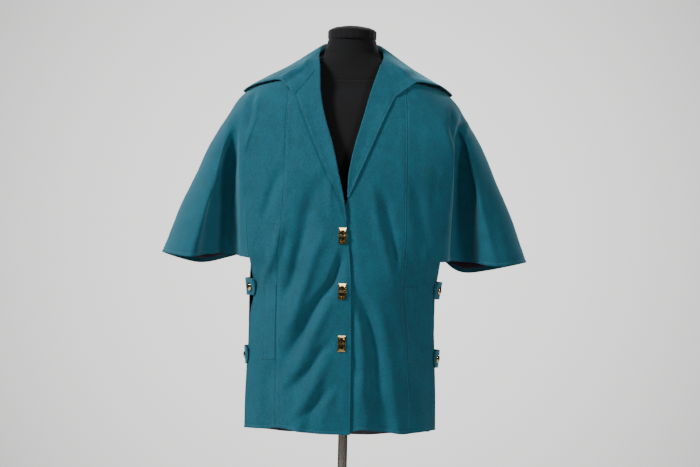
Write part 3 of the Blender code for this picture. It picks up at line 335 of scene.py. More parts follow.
# Folds as soft ridges (height above 0) and valleys (below 0): height, width at the top and at the
# bottom, and the line from the bottom up as pairs of level and place across, in millimetres
FOLDS_FRONT = (
    fold(-9.5, 9, 16, 832, -130, 861, -116, 895, -96, 939, -78, 981, -54, 1016, -30, 1060, -15,
         1112, -2),
    fold(6, 13, 12, 890, -136, 915, -123, 939, -110, 980, -98, 1019, -84, 1064, -72, 1111, -55,
         1150, -44),
    fold(-6.5, 16, 12, 930, -134, 969, -129, 1000, -120, 1032, -110, 1071, -103, 1117, -94, 1200,
         -73, 1260, -52),
    fold(5, 12, 9, 1000, -179, 1031, -169, 1062, -157, 1117, -143, 1160, -135),
    fold(5.5, 10, 13, 780, -138, 806, -120, 830, -105, 864, -85, 903, -68, 935, -53, 971, -39, 1000,
         -27),
    fold(-5, 9, 12, 770, -124, 796, -105, 817, -87, 839, -69, 865, -57, 891, -37, 915, -24),
    fold(4.8, 10, 14, 690, -106, 750, -91, 777, -78, 801, -63, 831, -54, 862, -41, 885, -30),
    fold(-4, 10, 14, 690, -78, 760, -58, 790, -45, 825, -28),
    fold(-5.5, 13, 18, 690, -160, 745, -159, 810, -157, 860, -151),
    fold(-4, 12, 12, 1140, -174, 1175, -167, 1238, -146, 1270, -136),
    fold(-13.5, 11, 25, 690, 85, 738, 79, 776, 70, 815, 65, 859, 62, 890, 58, 924, 51, 957, 40,
         1009, 21, 1035, 14),
    fold(4, 9, 12, 740, 40, 800, 39, 850, 42, 900, 37, 965, 24),
    fold(4.5, 14, 18, 690, 116, 740, 112, 800, 102, 850, 94, 900, 83, 955, 68, 1010, 50),
    fold(-6.5, 13, 10, 1030, 107, 1062, 102, 1088, 97, 1124, 88, 1170, 78, 1225, 66),
    fold(4.5, 14, 11, 1000, 104, 1050, 92, 1100, 76, 1150, 60, 1255, 40),
    fold(-4.2, 12, 14, 850, 150, 900, 146, 960, 141, 1037, 135, 1100, 128),
    fold(-4.5, 12, 12, 1065, 164, 1139, 154, 1195, 142, 1245, 132),
    fold(4, 12, 16, 690, 168, 753, 159, 830, 136, 882, 125, 950, 120),
)
FOLDS_BACK = (
    fold(-9, 16, 26, 640, 62, 800, 56, 1000, 50, 1180, 34, 1330, 18),
    fold(-8, 16, 26, 640, -54, 820, -46, 1000, -44, 1160, -50, 1300, -66),
    fold(5.5, 14, 22, 640, 4, 850, 0, 1050, -6, 1240, -18),
    fold(-8, 14, 22, 640, 138, 820, 132, 1000, 122, 1150, 112, 1270, 108),
    fold(-7, 14, 22, 640, -128, 820, -126, 1000, -120, 1180, -104, 1300, -98),
    fold(5.5, 12, 20, 640, 100, 850, 92, 1050, 86, 1200, 78),
    fold(5.5, 12, 20, 640, -92, 880, -86, 1080, -82, 1240, -74),
    fold(4.5, 10, 15, 690, 170, 900, 166, 1080, 158),
    fold(4.5, 10, 15, 690, -164, 900, -160, 1120, -152),
)
# Smaller creases of the fronts and the back, which only the cloth has
CREASES_FRONT = (
    fold(1.6, 3, 3, 1070, 201, 1150, 211, 1220, 216.5, 1280, 219.5, 1360, 219),
    fold(2.2, 3, 3, 1270, -224, 1300, -217, 1350, -201, 1390, -190),
    fold(0.8, 1.6, 1.6, 1160, -36, 1240, -37.5),
    fold(-3.6, 10, 15, 770, -158, 800, -146, 832, -131, 861, -117, 895, -97, 939, -78, 981, -54,
         1010, -36),
    fold(3, 9, 10, 860, -148, 890, -137, 915, -124, 939, -111, 980, -99, 1019, -85, 1064, -72),
    fold(-3.6, 8, 10, 969, -127, 1000, -119, 1032, -109, 1071, -100, 1117, -90, 1160, -78),
    fold(-3.6, 8, 11, 680, -134, 705, -118, 730, -97, 760, -63, 790, -36, 825, -14),
    fold(-2.2, 4, 7, 930, -91, 960, -74, 990, -55, 1020, -31, 1060, -18, 1085, -12),
    fold(1.8, 5, 6, 975, -71, 1010, -47, 1050, -30, 1104, -20),
    fold(1.6, 4, 6, 860, -98, 890, -80, 930, -60, 960, -46),
    fold(-2, 4, 6, 815, -92, 840, -72, 868, -50, 890, -34),
    fold(1.4, 5, 7, 800, -55, 830, -42, 870, -30),
    fold(-1.6, 5, 8, 720, -78, 760, -66, 800, -50, 830, -30),
    fold(1.5, 5, 8, 720, -44, 760, -34, 800, -18),
    fold(-1.4, 5, 6, 740, -18, 780, -12, 815, -4),
    fold(-1.8, 5, 7, 1010, -149, 1050, -140, 1090, -132, 1130, -126),
    fold(1.6, 5, 6, 1030, -128, 1070, -120, 1110, -114),
    fold(2, 4, 5, 1015, -176, 1050, -162, 1090, -151, 1140, -143),
    fold(-2, 5, 8, 1080, -186, 1130, -180, 1190, -166, 1240, -149),
    fold(-1.8, 6, 9, 1220, -200, 1260, -203, 1300, -205),
    fold(-1.6, 7, 9, 1160, -60, 1210, -52, 1260, -46),
    fold(1.4, 6, 8, 1130, -36, 1180, -38, 1240, -44),
    fold(-2.6, 5, 8, 900, 58, 930, 50, 960, 40, 990, 28, 1020, 17),
    fold(1.6, 5, 7, 890, 36, 930, 28, 965, 21),
    fold(-3, 4, 6, 815, 34, 840, 26, 862, 19, 880, 15),
    fold(1.6, 6, 10, 760, 90, 820, 80, 880, 76, 930, 66),
    fold(1.4, 6, 10, 720, 54, 780, 50, 840, 47),
    fold(-1.8, 4, 6, 1045, 107, 1070, 101, 1100, 94, 1140, 86),
    fold(1.6, 5, 6, 1030, 113, 1070, 109, 1130, 100),
    fold(-1.4, 5, 8, 1100, 52, 1160, 49, 1220, 43),
    fold(-1.4, 6, 6, 1000, 156, 1060, 152, 1110, 148),
    fold(1.6, 5, 7, 1010, 170, 1070, 164, 1130, 159),
    fold(-1.2, 7, 9, 1160, 176, 1220, 180, 1290, 186),
    fold(1.2, 8, 9, 1180, 120, 1260, 112, 1340, 108),
    fold(-1.2, 10, 10, 1230, 150, 1300, 146, 1370, 142),
    fold(-1.3, 8, 10, 1270, -118, 1330, -122, 1390, -128),
    fold(-1.4, 8, 12, 720, 146, 780, 148, 840, 142),
)
CREASES_BACK = (
    fold(1.8, 8, 12, 660, 20, 850, 18, 1050, 16, 1180, 12),
    fold(-2, 7, 10, 660, 82, 860, 74, 1060, 70, 1160, 64),
    fold(-1.8, 7, 10, 660, -76, 880, -66, 1060, -66),
    fold(1.8, 8, 10, 700, 150, 880, 148, 1020, 140),
    fold(-2, 8, 10, 720, -146, 900, -142, 1060, -134),
    fold(-2.2, 10, 12, 1270, 136, 1330, 118, 1400, 86),
    fold(-2, 10, 12, 1260, -140, 1330, -118, 1390, -90),
    fold(1.6, 10, 12, 1240, 160, 1300, 146, 1370, 118),
)
# Creases of the collar's front half
CREASES_COLLAR = (
    fold(3.4, 5, 6, 1432, -152, 1442.5, -144.5, 1458, -123.4, 1467, -104.2, 1480, -96, 1500, -86),
    fold(-2.8, 4, 6, 1424, -150, 1436, -136, 1448, -120, 1458, -106, 1474, -94),
    fold(2.6, 6, 8, 1420, 165, 1436, 140, 1456, 116, 1480, 98),
)
# Creases on the front half of each sleeve
CREASES_SLEEVES = {
    -1: (
        fold(-12, 9, 13, 930, -262, 1060, -260, 1100, -259, 1150, -256, 1200, -254, 1250, -251, 1300,
             -247, 1400, -240),
        fold(-16, 14, 27, 930, -296, 1060, -291, 1150, -281, 1250, -266, 1340, -254),
        fold(2.6, 6, 7, 930, -222, 1100, -224, 1200, -226, 1300, -229, 1350, -228),
        fold(-5.5, 6, 9, 1320, -216, 1350, -213, 1390, -211, 1425, -204),
        fold(3, 6, 8, 1330, -203, 1370, -198, 1420, -190),
    ),
    1: (
        fold(-26, 11, 18, 930, 237, 1060, 239, 1150, 241, 1250, 242, 1310, 238, 1400, 232),
        fold(-13, 11, 18, 930, 258, 1060, 258, 1150, 257, 1250, 254, 1330, 246),
        fold(-4.5, 5, 7, 1300, 230, 1320, 232, 1370, 240, 1400, 244),
        fold(3, 5, 6, 1300, 241, 1330, 244, 1370, 251, 1390, 252),
        fold(-3.6, 5, 6, 1310, 217, 1350, 215, 1400, 214),
        fold(-2.5, 10, 18, 930, 330, 1060, 322, 1180, 300, 1260, 284),
    ),
}


def smooth(low, high, value):
    """Eased step from 0 at low to 1 at high."""
    t = np.clip((value - low) / (high - low), 0.0, 1.0)
    return t * t * (3 - 2 * t)


def centre(z):
    """The jacket hangs a little to one side below the neck."""
    return CENTRE_SHIFT * smooth(1.50, 1.42, z)


def middle_of(table, z):
    """Middle of the front's or the back's section, which is a little off the centre."""
    return centre(z) + table.at("shift", z)


def fold_height(folds, x, z):
    """Sum of soft ridges and valleys beside their lines, each fading at both ends."""
    total = np.zeros_like(x)
    for each in folds:
        share = np.clip((z - each.low) / (each.high - each.low), 0.0, 1.0)
        lean = (each.line.at("x", z + 0.003) - each.line.at("x", z - 0.003)) / 0.006
        width = each.wide_bottom + (each.wide_top - each.wide_bottom) * share
        across = (x - each.line.at("x", z)) / (width * np.hypot(1, lean))
        start = 1.0 if each.low < HEM_FRONT else smooth(0.0, 0.28, share)
        total += each.height * start * (1 - smooth(0.70, 1.0, share)) * np.exp(-across * across)
    return total


def waver(a, b, seed):
    """Gentle unevenness between -1 and 1, for lengths in metres."""
    total = np.zeros_like(a)
    turns = np.random.default_rng(seed).uniform(0, 2 * pi, (6, 2))
    for k, (angle, phase) in enumerate(turns):
        rate = 2 * pi / (0.020 * 1.45 ** k)
        total += np.sin(rate * (a * cos(angle) + b * sin(angle)) + phase) * (0.55 + 0.15 * k)
    return total / 5.5


def front_surface(x, z):
    """Middle surface of the fronts."""
    half = np.abs(x - middle_of(FRONT, z))
    seam_x, seam_y = FRONT.at("seam_x", z), FRONT.at("seam_y", z)
    depth = FRONT.at("depth", z)
    y = -depth + (depth + seam_y) * (half / seam_x) ** FRONT_POWER
    relief = fold_height(FOLDS_FRONT, x, z) * FOLD_SHARE + fold_height(CREASES_FRONT, x, z)
    return np.stack([x, y - relief, z], -1)


def front_with_normals(x, z):
    """Points of the fronts' middle surface, and its normals."""
    return front_surface(x, z), surface_normal(front_surface, x, z, STEP, STEP)


def back_surface(x, z):
    """Middle surface of the back."""
    half = np.abs(x - middle_of(BACK, z))
    seam_x, seam_y = BACK.at("seam_x", z), BACK.at("seam_y", z)
    depth = BACK.at("depth", z)
    y = depth - (depth - seam_y) * (half / seam_x) ** BACK_POWER
    relief = fold_height(FOLDS_BACK + CREASES_BACK, x, z)
    return np.stack([x, y + relief, z], -1)


def sleeve_surface(sign, place, z):
    """Middle surface of a sleeve between its front seam (0) and its back seam (1)."""
    middle = centre(z)
    table = SLEEVES[sign]
    front = front_surface(middle_of(FRONT, z) + sign * FRONT.at("seam_x", z), z)
    back = back_surface(middle_of(BACK, z) + sign * BACK.at("seam_x", z), z)
    names = ("valley", "ridge", "tip", "back_ridge", "back_valley")
    xs = [table.at(name if name == "tip" else name + "_x", z) for name in names]
    ys = [np.zeros_like(z) if name == "tip" else table.at(name + "_y", z) for name in names]
    xs = [np.abs(front[..., 0] - middle), *xs, np.abs(back[..., 0] - middle)]
    ys = [front[..., 1], *ys, back[..., 1]]
    x = blend(np.stack(xs), place)
    y = blend(np.stack(ys), place)
    return np.stack([middle + sign * x, y, z], -1)


def blend(values, along):
    """Values on smooth curves through the rows of an array, by the share of the way."""
    last = len(values) - 1
    padded = np.concatenate([2 * values[:1] - values[1:2], values, 2 * values[-1:] - values[-2:-1]])
    i = np.clip((along * last).astype(int), 0, last - 1)
    t = along * last - i
    before, start, end, after = (np.take_along_axis(padded, (i + k)[None], 0)[0] for k in range(4))
    leave, arrive = (end - before) / 2, (after - start) / 2
    return (start * (1 + 2 * t) * (1 - t) ** 2 + leave * t * (1 - t) ** 2
            + end * t * t * (3 - 2 * t) - arrive * t * t * (1 - t))


def ring_surface(sign, ring, z):
    """Surface right round one half: front 0 to 1, sleeve 1 to 2, back 2 to 3."""
    reach = FRONT.at("seam_x", z) * np.clip(ring, 0, 1)
    front = front_surface(middle_of(FRONT, z) + sign * reach, z)
    cape = sleeve_surface(sign, np.clip(ring - 1, 0, 1), z)
    reach = BACK.at("seam_x", z) * np.clip(3 - ring, 0, 1)
    back = back_surface(middle_of(BACK, z) + sign * reach, z)
    ring = ring[..., None]
    return np.where(ring <= 1, front, np.where(ring <= 2, cape, back))


def unit(vectors):
    """Vectors of length 1."""
    return vectors / np.maximum(np.linalg.norm(vectors, axis=-1, keepdims=True), 1e-12)


def surface_normal(surface, a, z, step_a, step_z):
    """Normals of a surface of two coordinates, from small steps."""
    along = surface(a + step_a, z) - surface(a - step_a, z)
    up = surface(a, z + step_z) - surface(a, z - step_z)
    return unit(np.cross(along, up))


def grid_normals(points, outward):
    """Normals of a grid of points, row by column, that look outward on the whole."""
    normals = unit(np.cross(np.gradient(points, axis=1), np.gradient(points, axis=0)))
    return normals * np.sign(np.sum(normals * np.array(outward, dtype=float), -1).mean())


def spread(step, count, length):
    """Distance from a border for grid steps, closer together near both borders."""
    inner = len(BORDER) - 1
    low = np.interp(step, np.arange(inner + 1), BORDER)
    high = length - np.interp(count - step, np.arange(inner + 1), BORDER)
    middle = BORDER[-1] + (step - inner) / (count - 2 * inner) * (length - 2 * BORDER[-1])
    return np.where(step <= inner, low, np.where(step >= count - inner, high, middle))


def border_relief(kind, distance, along, seed):
    """Rise of the cloth beside a border: a sewn seam, a stitched edge or a hem."""
    if kind == "seam":
        return -SEAM_SINK * np.exp(-(distance / SEAM_WIDTH) ** 2)
    line = STITCH_LINES[kind]
    pucker = np.sin(along * 2 * pi / PUCKER_LENGTH) * 0.3
    pucker += waver(along * 2.2, along * 0.7, seed) * 0.5
    groove = -GROOVE_DEPTH * np.exp(-((distance - line) / GROOVE_WIDTH) ** 2)
    roll = EDGE_ROLL * np.exp(-((distance - line * 0.45) / (line * 0.4)) ** 2)
    ruffle = PUCKER_HEIGHT * pucker * np.exp(-(distance / PUCKER_WIDTH) ** 2)
    dip = -SEAM_SINK * np.exp(-(distance / FELLED_WIDTH) ** 2) if kind == "felled" else 0.0
    return groove + roll + ruffle + dip


def link(name, bm, material, body=BODY):
    """Finish a bmesh as one named piece that rides on a body."""
    mesh = bpy.data.meshes.new(name)
    bm.to_mesh(mesh)
    bm.free()
    mesh.materials.append(material)
    mesh.shade_smooth()
    piece = bpy.data.objects.new(name, mesh)
    bpy.context.scene.collection.objects.link(piece)
    if body:
        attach(piece, body)
    return piece


def shell(name, points, outward, thickness, material, offset):
    """Closed thin wall about a grid of points, with rounded rims."""
    rows, columns = points.shape[0] - 1, points.shape[1] - 1
    normals = grid_normals(points, outward)
    bm = bmesh.new()
    bmesh.ops.create_grid(bm, x_segments=columns, y_segments=rows, size=0.5)
    bmesh.ops.translate(bm, vec=(0.5, 0.5, -1), verts=bm.verts)
    doubled = bmesh.ops.extrude_face_region(bm, geom=bm.faces[:], use_keep_orig=True)
    lifted = [v for v in doubled["geom"] if isinstance(v, bmesh.types.BMVert)]
    bmesh.ops.translate(bm, vec=(0, 0, 2), verts=lifted)
    sides = [points + normals * (offset + half) for half in (-thickness / 2, thickness / 2)]
    for vert in bm.verts:
        i, j = round(vert.co.x * columns), round(vert.co.y * rows)
        vert.co = sides[vert.co.z > 0][j, i]
    bmesh.ops.recalc_face_normals(bm, faces=bm.faces)
    if bm.calc_volume(signed=True) < 0:
        bmesh.ops.reverse_faces(bm, faces=bm.faces)
    piece = link(name, bm, material)
    bevel = piece.modifiers.new("rim", "BEVEL")
    bevel.width = RIM
    bevel.segments = 2
    bevel.limit_method = "ANGLE"
    bevel.angle_limit = radians(55)
    bevel.use_clamp_overlap = True
    return piece


def cut_area(points):
    """Area of a grid of points."""
    a = points[1:, :-1] - points[:-1, :-1]
    b = points[:-1, 1:] - points[:-1, :-1]
    return float(np.linalg.norm(np.cross(a, b), axis=-1).sum())


def declare(points, nodes):
    """Hide the solids that a piece stands for; its cut area is worked out but not kept."""
    round(cut_area(points), 4)
    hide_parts(*nodes)


def stitches(name, lines, material, pitch, length, radius):
    """Rows of sewn stitches along lines of points and normals."""
    seed = bmesh.new()
    bmesh.ops.create_cone(seed, cap_ends=True, segments=6, radius1=radius, radius2=radius,
                          depth=length)
    ends = [face for face in seed.faces if len(face.verts) == 6]
    bmesh.ops.inset_region(seed, faces=ends, thickness=radius * 0.45, depth=radius * 0.6,
                           use_even_offset=False)
    thread = bpy.data.meshes.new(name + "_thread")
    seed.to_mesh(thread)
    seed.free()
    base = np.empty(len(thread.vertices) * 3)
    thread.vertices.foreach_get("co", base)
    bm = bmesh.new()
    for points, normals in lines:
        run = np.concatenate([[0], np.cumsum(np.linalg.norm(np.diff(points, axis=0), axis=1))])
        for s in np.arange(pitch, run[-1] - pitch / 2, pitch):
            spot, ahead, out = (Vector([np.interp(s + d, run, table[:, k]) for k in range(3)])
                                for d, table in ((0, points), (pitch / 2, points), (0, normals)))
            way = (ahead - spot).normalized()
            side = out.cross(way).normalized()
            turn = Matrix((side, way.cross(side).normalized(), way)).transposed().to_4x4()
            thread.vertices.foreach_set("co", base)
            thread.transform(Matrix.Translation(spot) @ turn)
            bm.from_mesh(thread)
    bpy.data.meshes.remove(thread)
    return link(name, bm, material)


def sewn_line(points, outward, row=None, column=None):
    """Line of points and normals along a row or a column of a grid, on its outer side."""
    normals = grid_normals(points, outward)
    where = (row, slice(None)) if row is not None else (slice(None), column)
    return points[where] + normals[where] * (SUEDE / 2), normals[where]


def sewn_path(path, count=60):
    """Line of points and normals on the fronts through pairs of width and height."""
    path = np.array(path)
    at, corners = np.linspace(0, len(path) - 1, count), np.arange(len(path))
    x, z = np.interp(at, corners, path[:, 0]), np.interp(at, corners, path[:, 1])
    points, normals = front_with_normals(x, z)
    return points + normals * (SUEDE / 2), normals


class Value:
    """A shader socket that adds its Math nodes when it is used in an expression."""

    def __init__(self, paint, socket):
        self.paint = paint
        self.socket = socket

    def joined(self, operation, first, second):
        """Math node of two values."""
        return self.paint.node("ShaderNodeMath", {"operation": operation}, {0: first, 1: second})

    def __add__(self, other):
        return self.joined("ADD", self, other)

    def __mul__(self, other):
        return self.joined("MULTIPLY", self, other)

    __radd__ = __add__
    __rmul__ = __mul__


class Paint:
    """One material and the nodes that are added to it."""

    def __init__(self, name, **constants):
        self.material = bpy.data.materials.new(name)
        self.material.use_nodes = True
        self.tree = self.material.node_tree
        self.shader = self.tree.nodes["Principled BSDF"]
        for key, value in constants.items():
            self.shader.inputs[key.replace("_", " ")].default_value = value

    def feed(self, socket, value):
        """Link a value to a socket, or set a plain number or colour on it."""
        if isinstance(value, Value):
            self.tree.links.new(value.socket, socket)
        else:
            socket.default_value = value

    def node(self, kind, settings=None, inputs=None, out=0):
        """Add a node: its settings first, then the values or links of its sockets."""
        made = self.tree.nodes.new(kind)
        for key, value in (settings or {}).items():
            setattr(made, key, value)
        for key, value in (inputs or {}).items():
            self.feed(made.inputs[key], value)
        return Value(self, made.outputs[out])

    def place(self):
        """Object coordinates."""
        return self.node("ShaderNodeTexCoord", out=3)

    def grain(self, place, scale, detail=2.0, rough=0.5, stretch=(1, 1, 1)):
        """Noise value of a scale per metre."""
        moved = self.node("ShaderNodeMapping", None, {"Vector": place, "Scale": stretch})
        return self.node("ShaderNodeTexNoise", None, {
            "Vector": moved, "Scale": scale, "Detail": detail, "Roughness": rough})

    def bands(self, place, direction, scale, distortion):
        """Wave value of bands across a direction, of a scale per metre."""
        return self.node("ShaderNodeTexWave",
                         {"wave_type": "BANDS", "bands_direction": direction},
                         {"Vector": place, "Scale": scale, "Distortion": distortion, "Detail": 1.0})

    def levels(self, value, low, high):
        """Value eased from 0 at low to 1 at high."""
        return self.node("ShaderNodeMapRange", {"interpolation_type": "SMOOTHSTEP"}, {
            "Value": value, "From Min": low, "From Max": high})

    def mix(self, share, first, second):
        """Colour between two colours."""
        return self.node("ShaderNodeMix", {"data_type": "RGBA"}, {0: share, 6: first, 7: second},
                         out=2)

    def bump(self, height, strength, distance, normal=None):
        """Normal from a height."""
        inputs = {"Height": height, "Strength": strength, "Distance": distance}
        if normal:
            inputs["Normal"] = normal
        return self.node("ShaderNodeBump", None, inputs)

    def wear(self, **links):
        """Feed the shader's own sockets."""
        for key, value in links.items():
            self.feed(self.shader.inputs[key.replace("_", " ")], value)
        return self.material


def tone(color, share):
    """A colour made lighter or darker, with alpha."""
    return (*(channel * share for channel in color[:3]), 1.0)


def suede_paint(name, color):
    """Suede: a short brushed nap, with flecks and soft lighter and darker patches."""
    paint = Paint(name, Sheen_Weight=0.42, Sheen_Roughness=0.42,
                  Sheen_Tint=(0.32, 0.74, 0.86, 1.0), Specular_IOR_Level=0.12)
    place = paint.place()
    nap = paint.grain(place, 1250.0, 2.0, 0.6)
    fleck = paint.grain(place, 420.0, 3.0, 0.62, (1.0, 1.0, 0.55))
    patch = paint.grain(place, 74.0, 3.0, 0.55, (1.0, 1.0, 0.5))
    cloud = paint.grain(place, 14.0, 2.0, 0.5)
    light = fleck * 0.52 + patch * 0.30 + cloud * 0.18
    light = paint.levels(light, 0.34, 0.68)
    base = paint.mix(light, tone(color, 0.74), tone(color, 1.32))
    base = paint.mix(paint.levels(nap, 0.30, 0.72) * 0.30, base, tone(color, 1.7))
    rough = 0.80 + paint.levels(patch, 0.3, 0.7) * 0.14
    height = paint.bump(nap * 0.5 + fleck * 0.5, 0.42, 0.0007)
    height = paint.bump(patch, 0.20, 0.0016, height)
    return paint.wear(Base_Color=base, Roughness=rough, Normal=height)


def satin_paint(name, color):
    """Satin lining: a fine diagonal twill with a soft shine."""
    paint = Paint(name, Sheen_Weight=0.10, Sheen_Roughness=0.3, Specular_IOR_Level=0.30,
                  Anisotropic=0.4)
    place = paint.place()
    turned = paint.node("ShaderNodeMapping", None,
                        {"Vector": place, "Rotation": (0.0, radians(38), 0.0)})
    rib = paint.bands(turned, "X", 520.0, 0.6)
    patch = paint.grain(place, 26.0, 2.0)
    base = paint.mix(patch, tone(color, 0.7), tone(color, 1.5))
    rough = 0.34 + patch * 0.16
    normal = paint.bump(rib, 0.22, 0.0003)
    return paint.wear(Base_Color=base, Roughness=rough, Normal=normal)


def gold_paint(name, color):
    """Polished gold-coloured metal with light rubbing."""
    paint = Paint(name, Metallic=1.0)
    place = paint.place()
    rub = paint.grain(place, 260.0, 2.0, 0.5)
    cloud = paint.grain(place, 90.0, 2.0)
    base = paint.mix(paint.levels(cloud, 0.35, 0.7), tone(color, 0.90), tone(color, 1.08))
    rough = 0.10 + paint.levels(rub, 0.45, 0.75) * 0.10
    return paint.wear(Base_Color=base, Roughness=rough)


def jersey_paint(name, color):
    """Matte knitted jersey stretched over the form."""
    paint = Paint(name, Sheen_Weight=0.13, Sheen_Roughness=0.5, Specular_IOR_Level=0.18,
                  Sheen_Tint=(0.6, 0.62, 0.68, 1.0))
    place = paint.place()
    rib = paint.bands(place, "X", 340.0, 0.4)
    loop = paint.bands(place, "Z", 260.0, 0.3)
    lint = paint.grain(place, 700.0, 2.0, 0.7)
    cloud = paint.grain(place, 9.0, 2.0)
    base = paint.mix(cloud, tone(color, 0.7), tone(color, 1.6))
    base = paint.mix(paint.levels(lint, 0.68, 0.82) * 0.35, base, tone(color, 6.0))
    rough = 0.82 + cloud * 0.12
    normal = paint.bump(rib * 0.5 + loop * 0.5, 0.30, 0.0004)
    return paint.wear(Base_Color=base, Roughness=rough, Normal=normal)


def steel_paint(name, color):
    """Satin nickel-plated steel, brushed round."""
    paint = Paint(name, Metallic=1.0)
    place = paint.place()
    line = paint.grain(place, 60.0, 3.0, 0.6, (1.0, 1.0, 30.0))
    smear = paint.grain(place, 22.0, 2.0)
    base = paint.mix(smear, tone(color, 0.85), tone(color, 1.1))
    rough = 0.12 + line * 0.10 + smear * 0.06
    normal = paint.bump(line, 0.08, 0.0002)
    return paint.wear(Base_Color=base, Roughness=rough, Normal=normal)


def thread_paint(name, color):
    """Twisted sewing thread."""
    paint = Paint(name, Sheen_Weight=0.3, Specular_IOR_Level=0.4)
    twist = paint.grain(paint.place(), 2600.0, 1.0)
    base = paint.mix(twist, tone(color, 0.75), tone(color, 1.25))
    return paint.wear(Base_Color=base, Roughness=0.55 + twist * 0.2,
                      Normal=paint.bump(twist, 0.3, 0.0002))


def stage_paint(name, color):
    """Plain pale studio floor."""
    paint = Paint(name, Specular_IOR_Level=0.1)
    cloud = paint.grain(paint.place(), 1.3, 3.0)
    base = paint.mix(cloud, tone(color, 0.985), tone(color, 1.015))
    return paint.wear(Base_Color=base, Roughness=0.85 + cloud * 0.1)


PAINTS = {}

# Light: the room below and above, the backdrop with a painted pool of light in its middle and painted
# shade at its edges, and each lamp's place, aim, size and power
ROOM_LOW = (0.012, 0.012, 0.013)
ROOM_HIGH = (0.060, 0.060, 0.062)
BACKDROP_SHADED_EDGE = (0.620, 0.620, 0.612)
BACKDROP_LIT_MIDDLE = (1.800, 1.800, 1.780)
LAMPS = (
    ("key", (-3.3, -2.0, 3.3), (0.0, 0.0, 1.15), 1.0, 330.0),
    ("second", (2.6, -3.0, 3.3), (0.0, 0.0, 1.15), 0.8, 105.0),
    ("fill", (0.1, -4.4, 2.7), (0.0, 0.0, 1.1), 1.6, 34.0),
    ("rim", (2.2, 2.6, 2.9), (0.0, 0.0, 1.15), 1.2, 60.0),
    ("rim_right", (-2.2, 2.6, 2.6), (0.0, 0.0, 1.1), 1.2, 45.0),
)


def paint_of(kind):
    """The material of a kind, made once."""
    looks = bpy.context.scene.jacket_looks
    makers = {"suede": (suede_paint, looks.suede), "lining": (satin_paint, looks.lining),
              "gold_metal": (gold_paint, looks.gold), "form_jersey": (jersey_paint, looks.jersey),
              "stand_steel": (steel_paint, looks.steel), "thread": (thread_paint, looks.thread),
              "stage": (stage_paint, looks.stage)}
    if kind not in PAINTS:
        maker, color = makers[kind]
        PAINTS[kind] = maker(kind, color)
    return PAINTS[kind]


def front_inner(sign, z):
    """Width of a front's free edge, or of the lapel's turned edge above the break."""
    return np.where(z < BREAKS[sign], EDGES[sign].at("x", z), LAPELS[sign].at("roll", z))


def front_outer(sign, z):
    """Width at which a front meets its side front, or the sleeve above it."""
    princess = centre(z) + sign * FRONT.at("princess_left" if sign > 0 else "princess_right", z)
    seam = middle_of(FRONT, z) + sign * FRONT.at("seam_x", z)
    return princess + (seam - princess) * smooth(1.440, 1.455, z)


def underlap(sign, x, z):
    """How far the left front steps in to pass under the right one."""
    if sign < 0:
        return np.zeros_like(x)
    edge = front_inner(-1, z)
    fade = 1 - smooth(1.19, 1.24, z)
    return UNDERLAP * fade * (1 - smooth(edge + 0.003, edge + 0.022, x))


def steps(columns, rows):
    """Grid of column and row numbers."""
    return np.meshgrid(np.arange(columns + 1.0), np.arange(rows + 1.0))


def hem_rise(sign, x, down):
    """Rise of a front's points beside its hem, which isn't level."""
    return HEM_LINES[sign].at("rise", x) * np.exp(-(down / HEM_FADE) ** 2)


def front_grid(sign):
    """Points of a front from its free edge to the princess seam."""
    columns, rows = 46, 190
    i, j = steps(columns, rows)
    height = NECK_FRONT - HEM_FRONT
    down = spread(j, rows, height)
    z = HEM_FRONT + down
    inner = front_inner(sign, z)
    width = np.abs(front_outer(sign, z) - inner) - SEAM_GAP / 2
    across = spread(i, columns, width)
    x = inner + sign * across
    z = z + hem_rise(sign, x, down)
    points, normals = front_with_normals(x, z)
    below = smooth(0.0, 0.01, BREAKS[sign] - z)
    relief = border_relief("edge", across, z, 3) * below
    relief += border_relief("felled", width - across, z, 5)
    relief += border_relief("hem", down, x, 7)
    relief += UNEVEN_FRONT * waver(x, z, 11 + sign) - underlap(sign, x, z)
    return points + normals * relief[..., None]


def side_front_grid(sign):
    """Points of a side front from the princess seam to the sleeve seam or the slit."""
    columns, rows = 28, 184
    i, j = steps(columns, rows)
    height = SIDE_FRONT_TOP - HEM_FRONT
    down = spread(j, rows, height)
    z = HEM_FRONT + down
    inner = front_outer(sign, z) + sign * SEAM_GAP / 2
    outer = middle_of(FRONT, z) + sign * (FRONT.at("seam_x", z) - SEAM_GAP / 2)
    width = np.maximum(np.abs(outer - inner), 0.0008)
    across = spread(i, columns, np.maximum(width, 0.020)) * width / np.maximum(width, 0.020)
    x = inner + sign * across
    z = z + hem_rise(sign, x, down)
    points, normals = front_with_normals(x, z)
    below = 1 - smooth(CAPE_FRONT - SLIT_FADE, CAPE_FRONT, z)
    relief = border_relief("seam", across, z, 3)
    relief += border_relief("seam", width - across, z, 5) * (1 - below)
    relief += border_relief("edge", width - across, z, 5) * below
    relief += border_relief("hem", down, x, 7) + UNEVEN_FRONT * waver(x, z, 21 + sign)
    return points + normals * relief[..., None]


def back_grid():
    """Points of the back from slit to slit and from the hem to the neck."""
    columns, rows = 96, 170
    i, j = steps(columns, rows)
    share = i / columns * 2 - 1
    half = share * BACK.at("seam_x", HEM_BACK)
    hem = HEM_BACK + HEM_BACK_RISE * (half / HEM_BACK_HALF) ** 2
    down = spread(j, rows, NECK_BACK - hem)
    z = hem + down
    width = 2 * (BACK.at("seam_x", z) - SEAM_GAP / 2)
    across = spread(i, columns, width)
    x = middle_of(BACK, z) - width / 2 + across
    points = back_surface(x, z)
    normals = -surface_normal(back_surface, x, z, STEP, STEP)
    edge = np.minimum(across, width - across)
    below = 1 - smooth(CAPE_BACK - SLIT_FADE, CAPE_BACK, z)
    relief = border_relief("edge", edge, z, 5) * below
    relief += border_relief("felled", edge, z, 9) * (1 - below)
    relief += border_relief("hem", down, x, 7) + UNEVEN_BACK * waver(x, z, 31)
    return points + normals * relief[..., None]


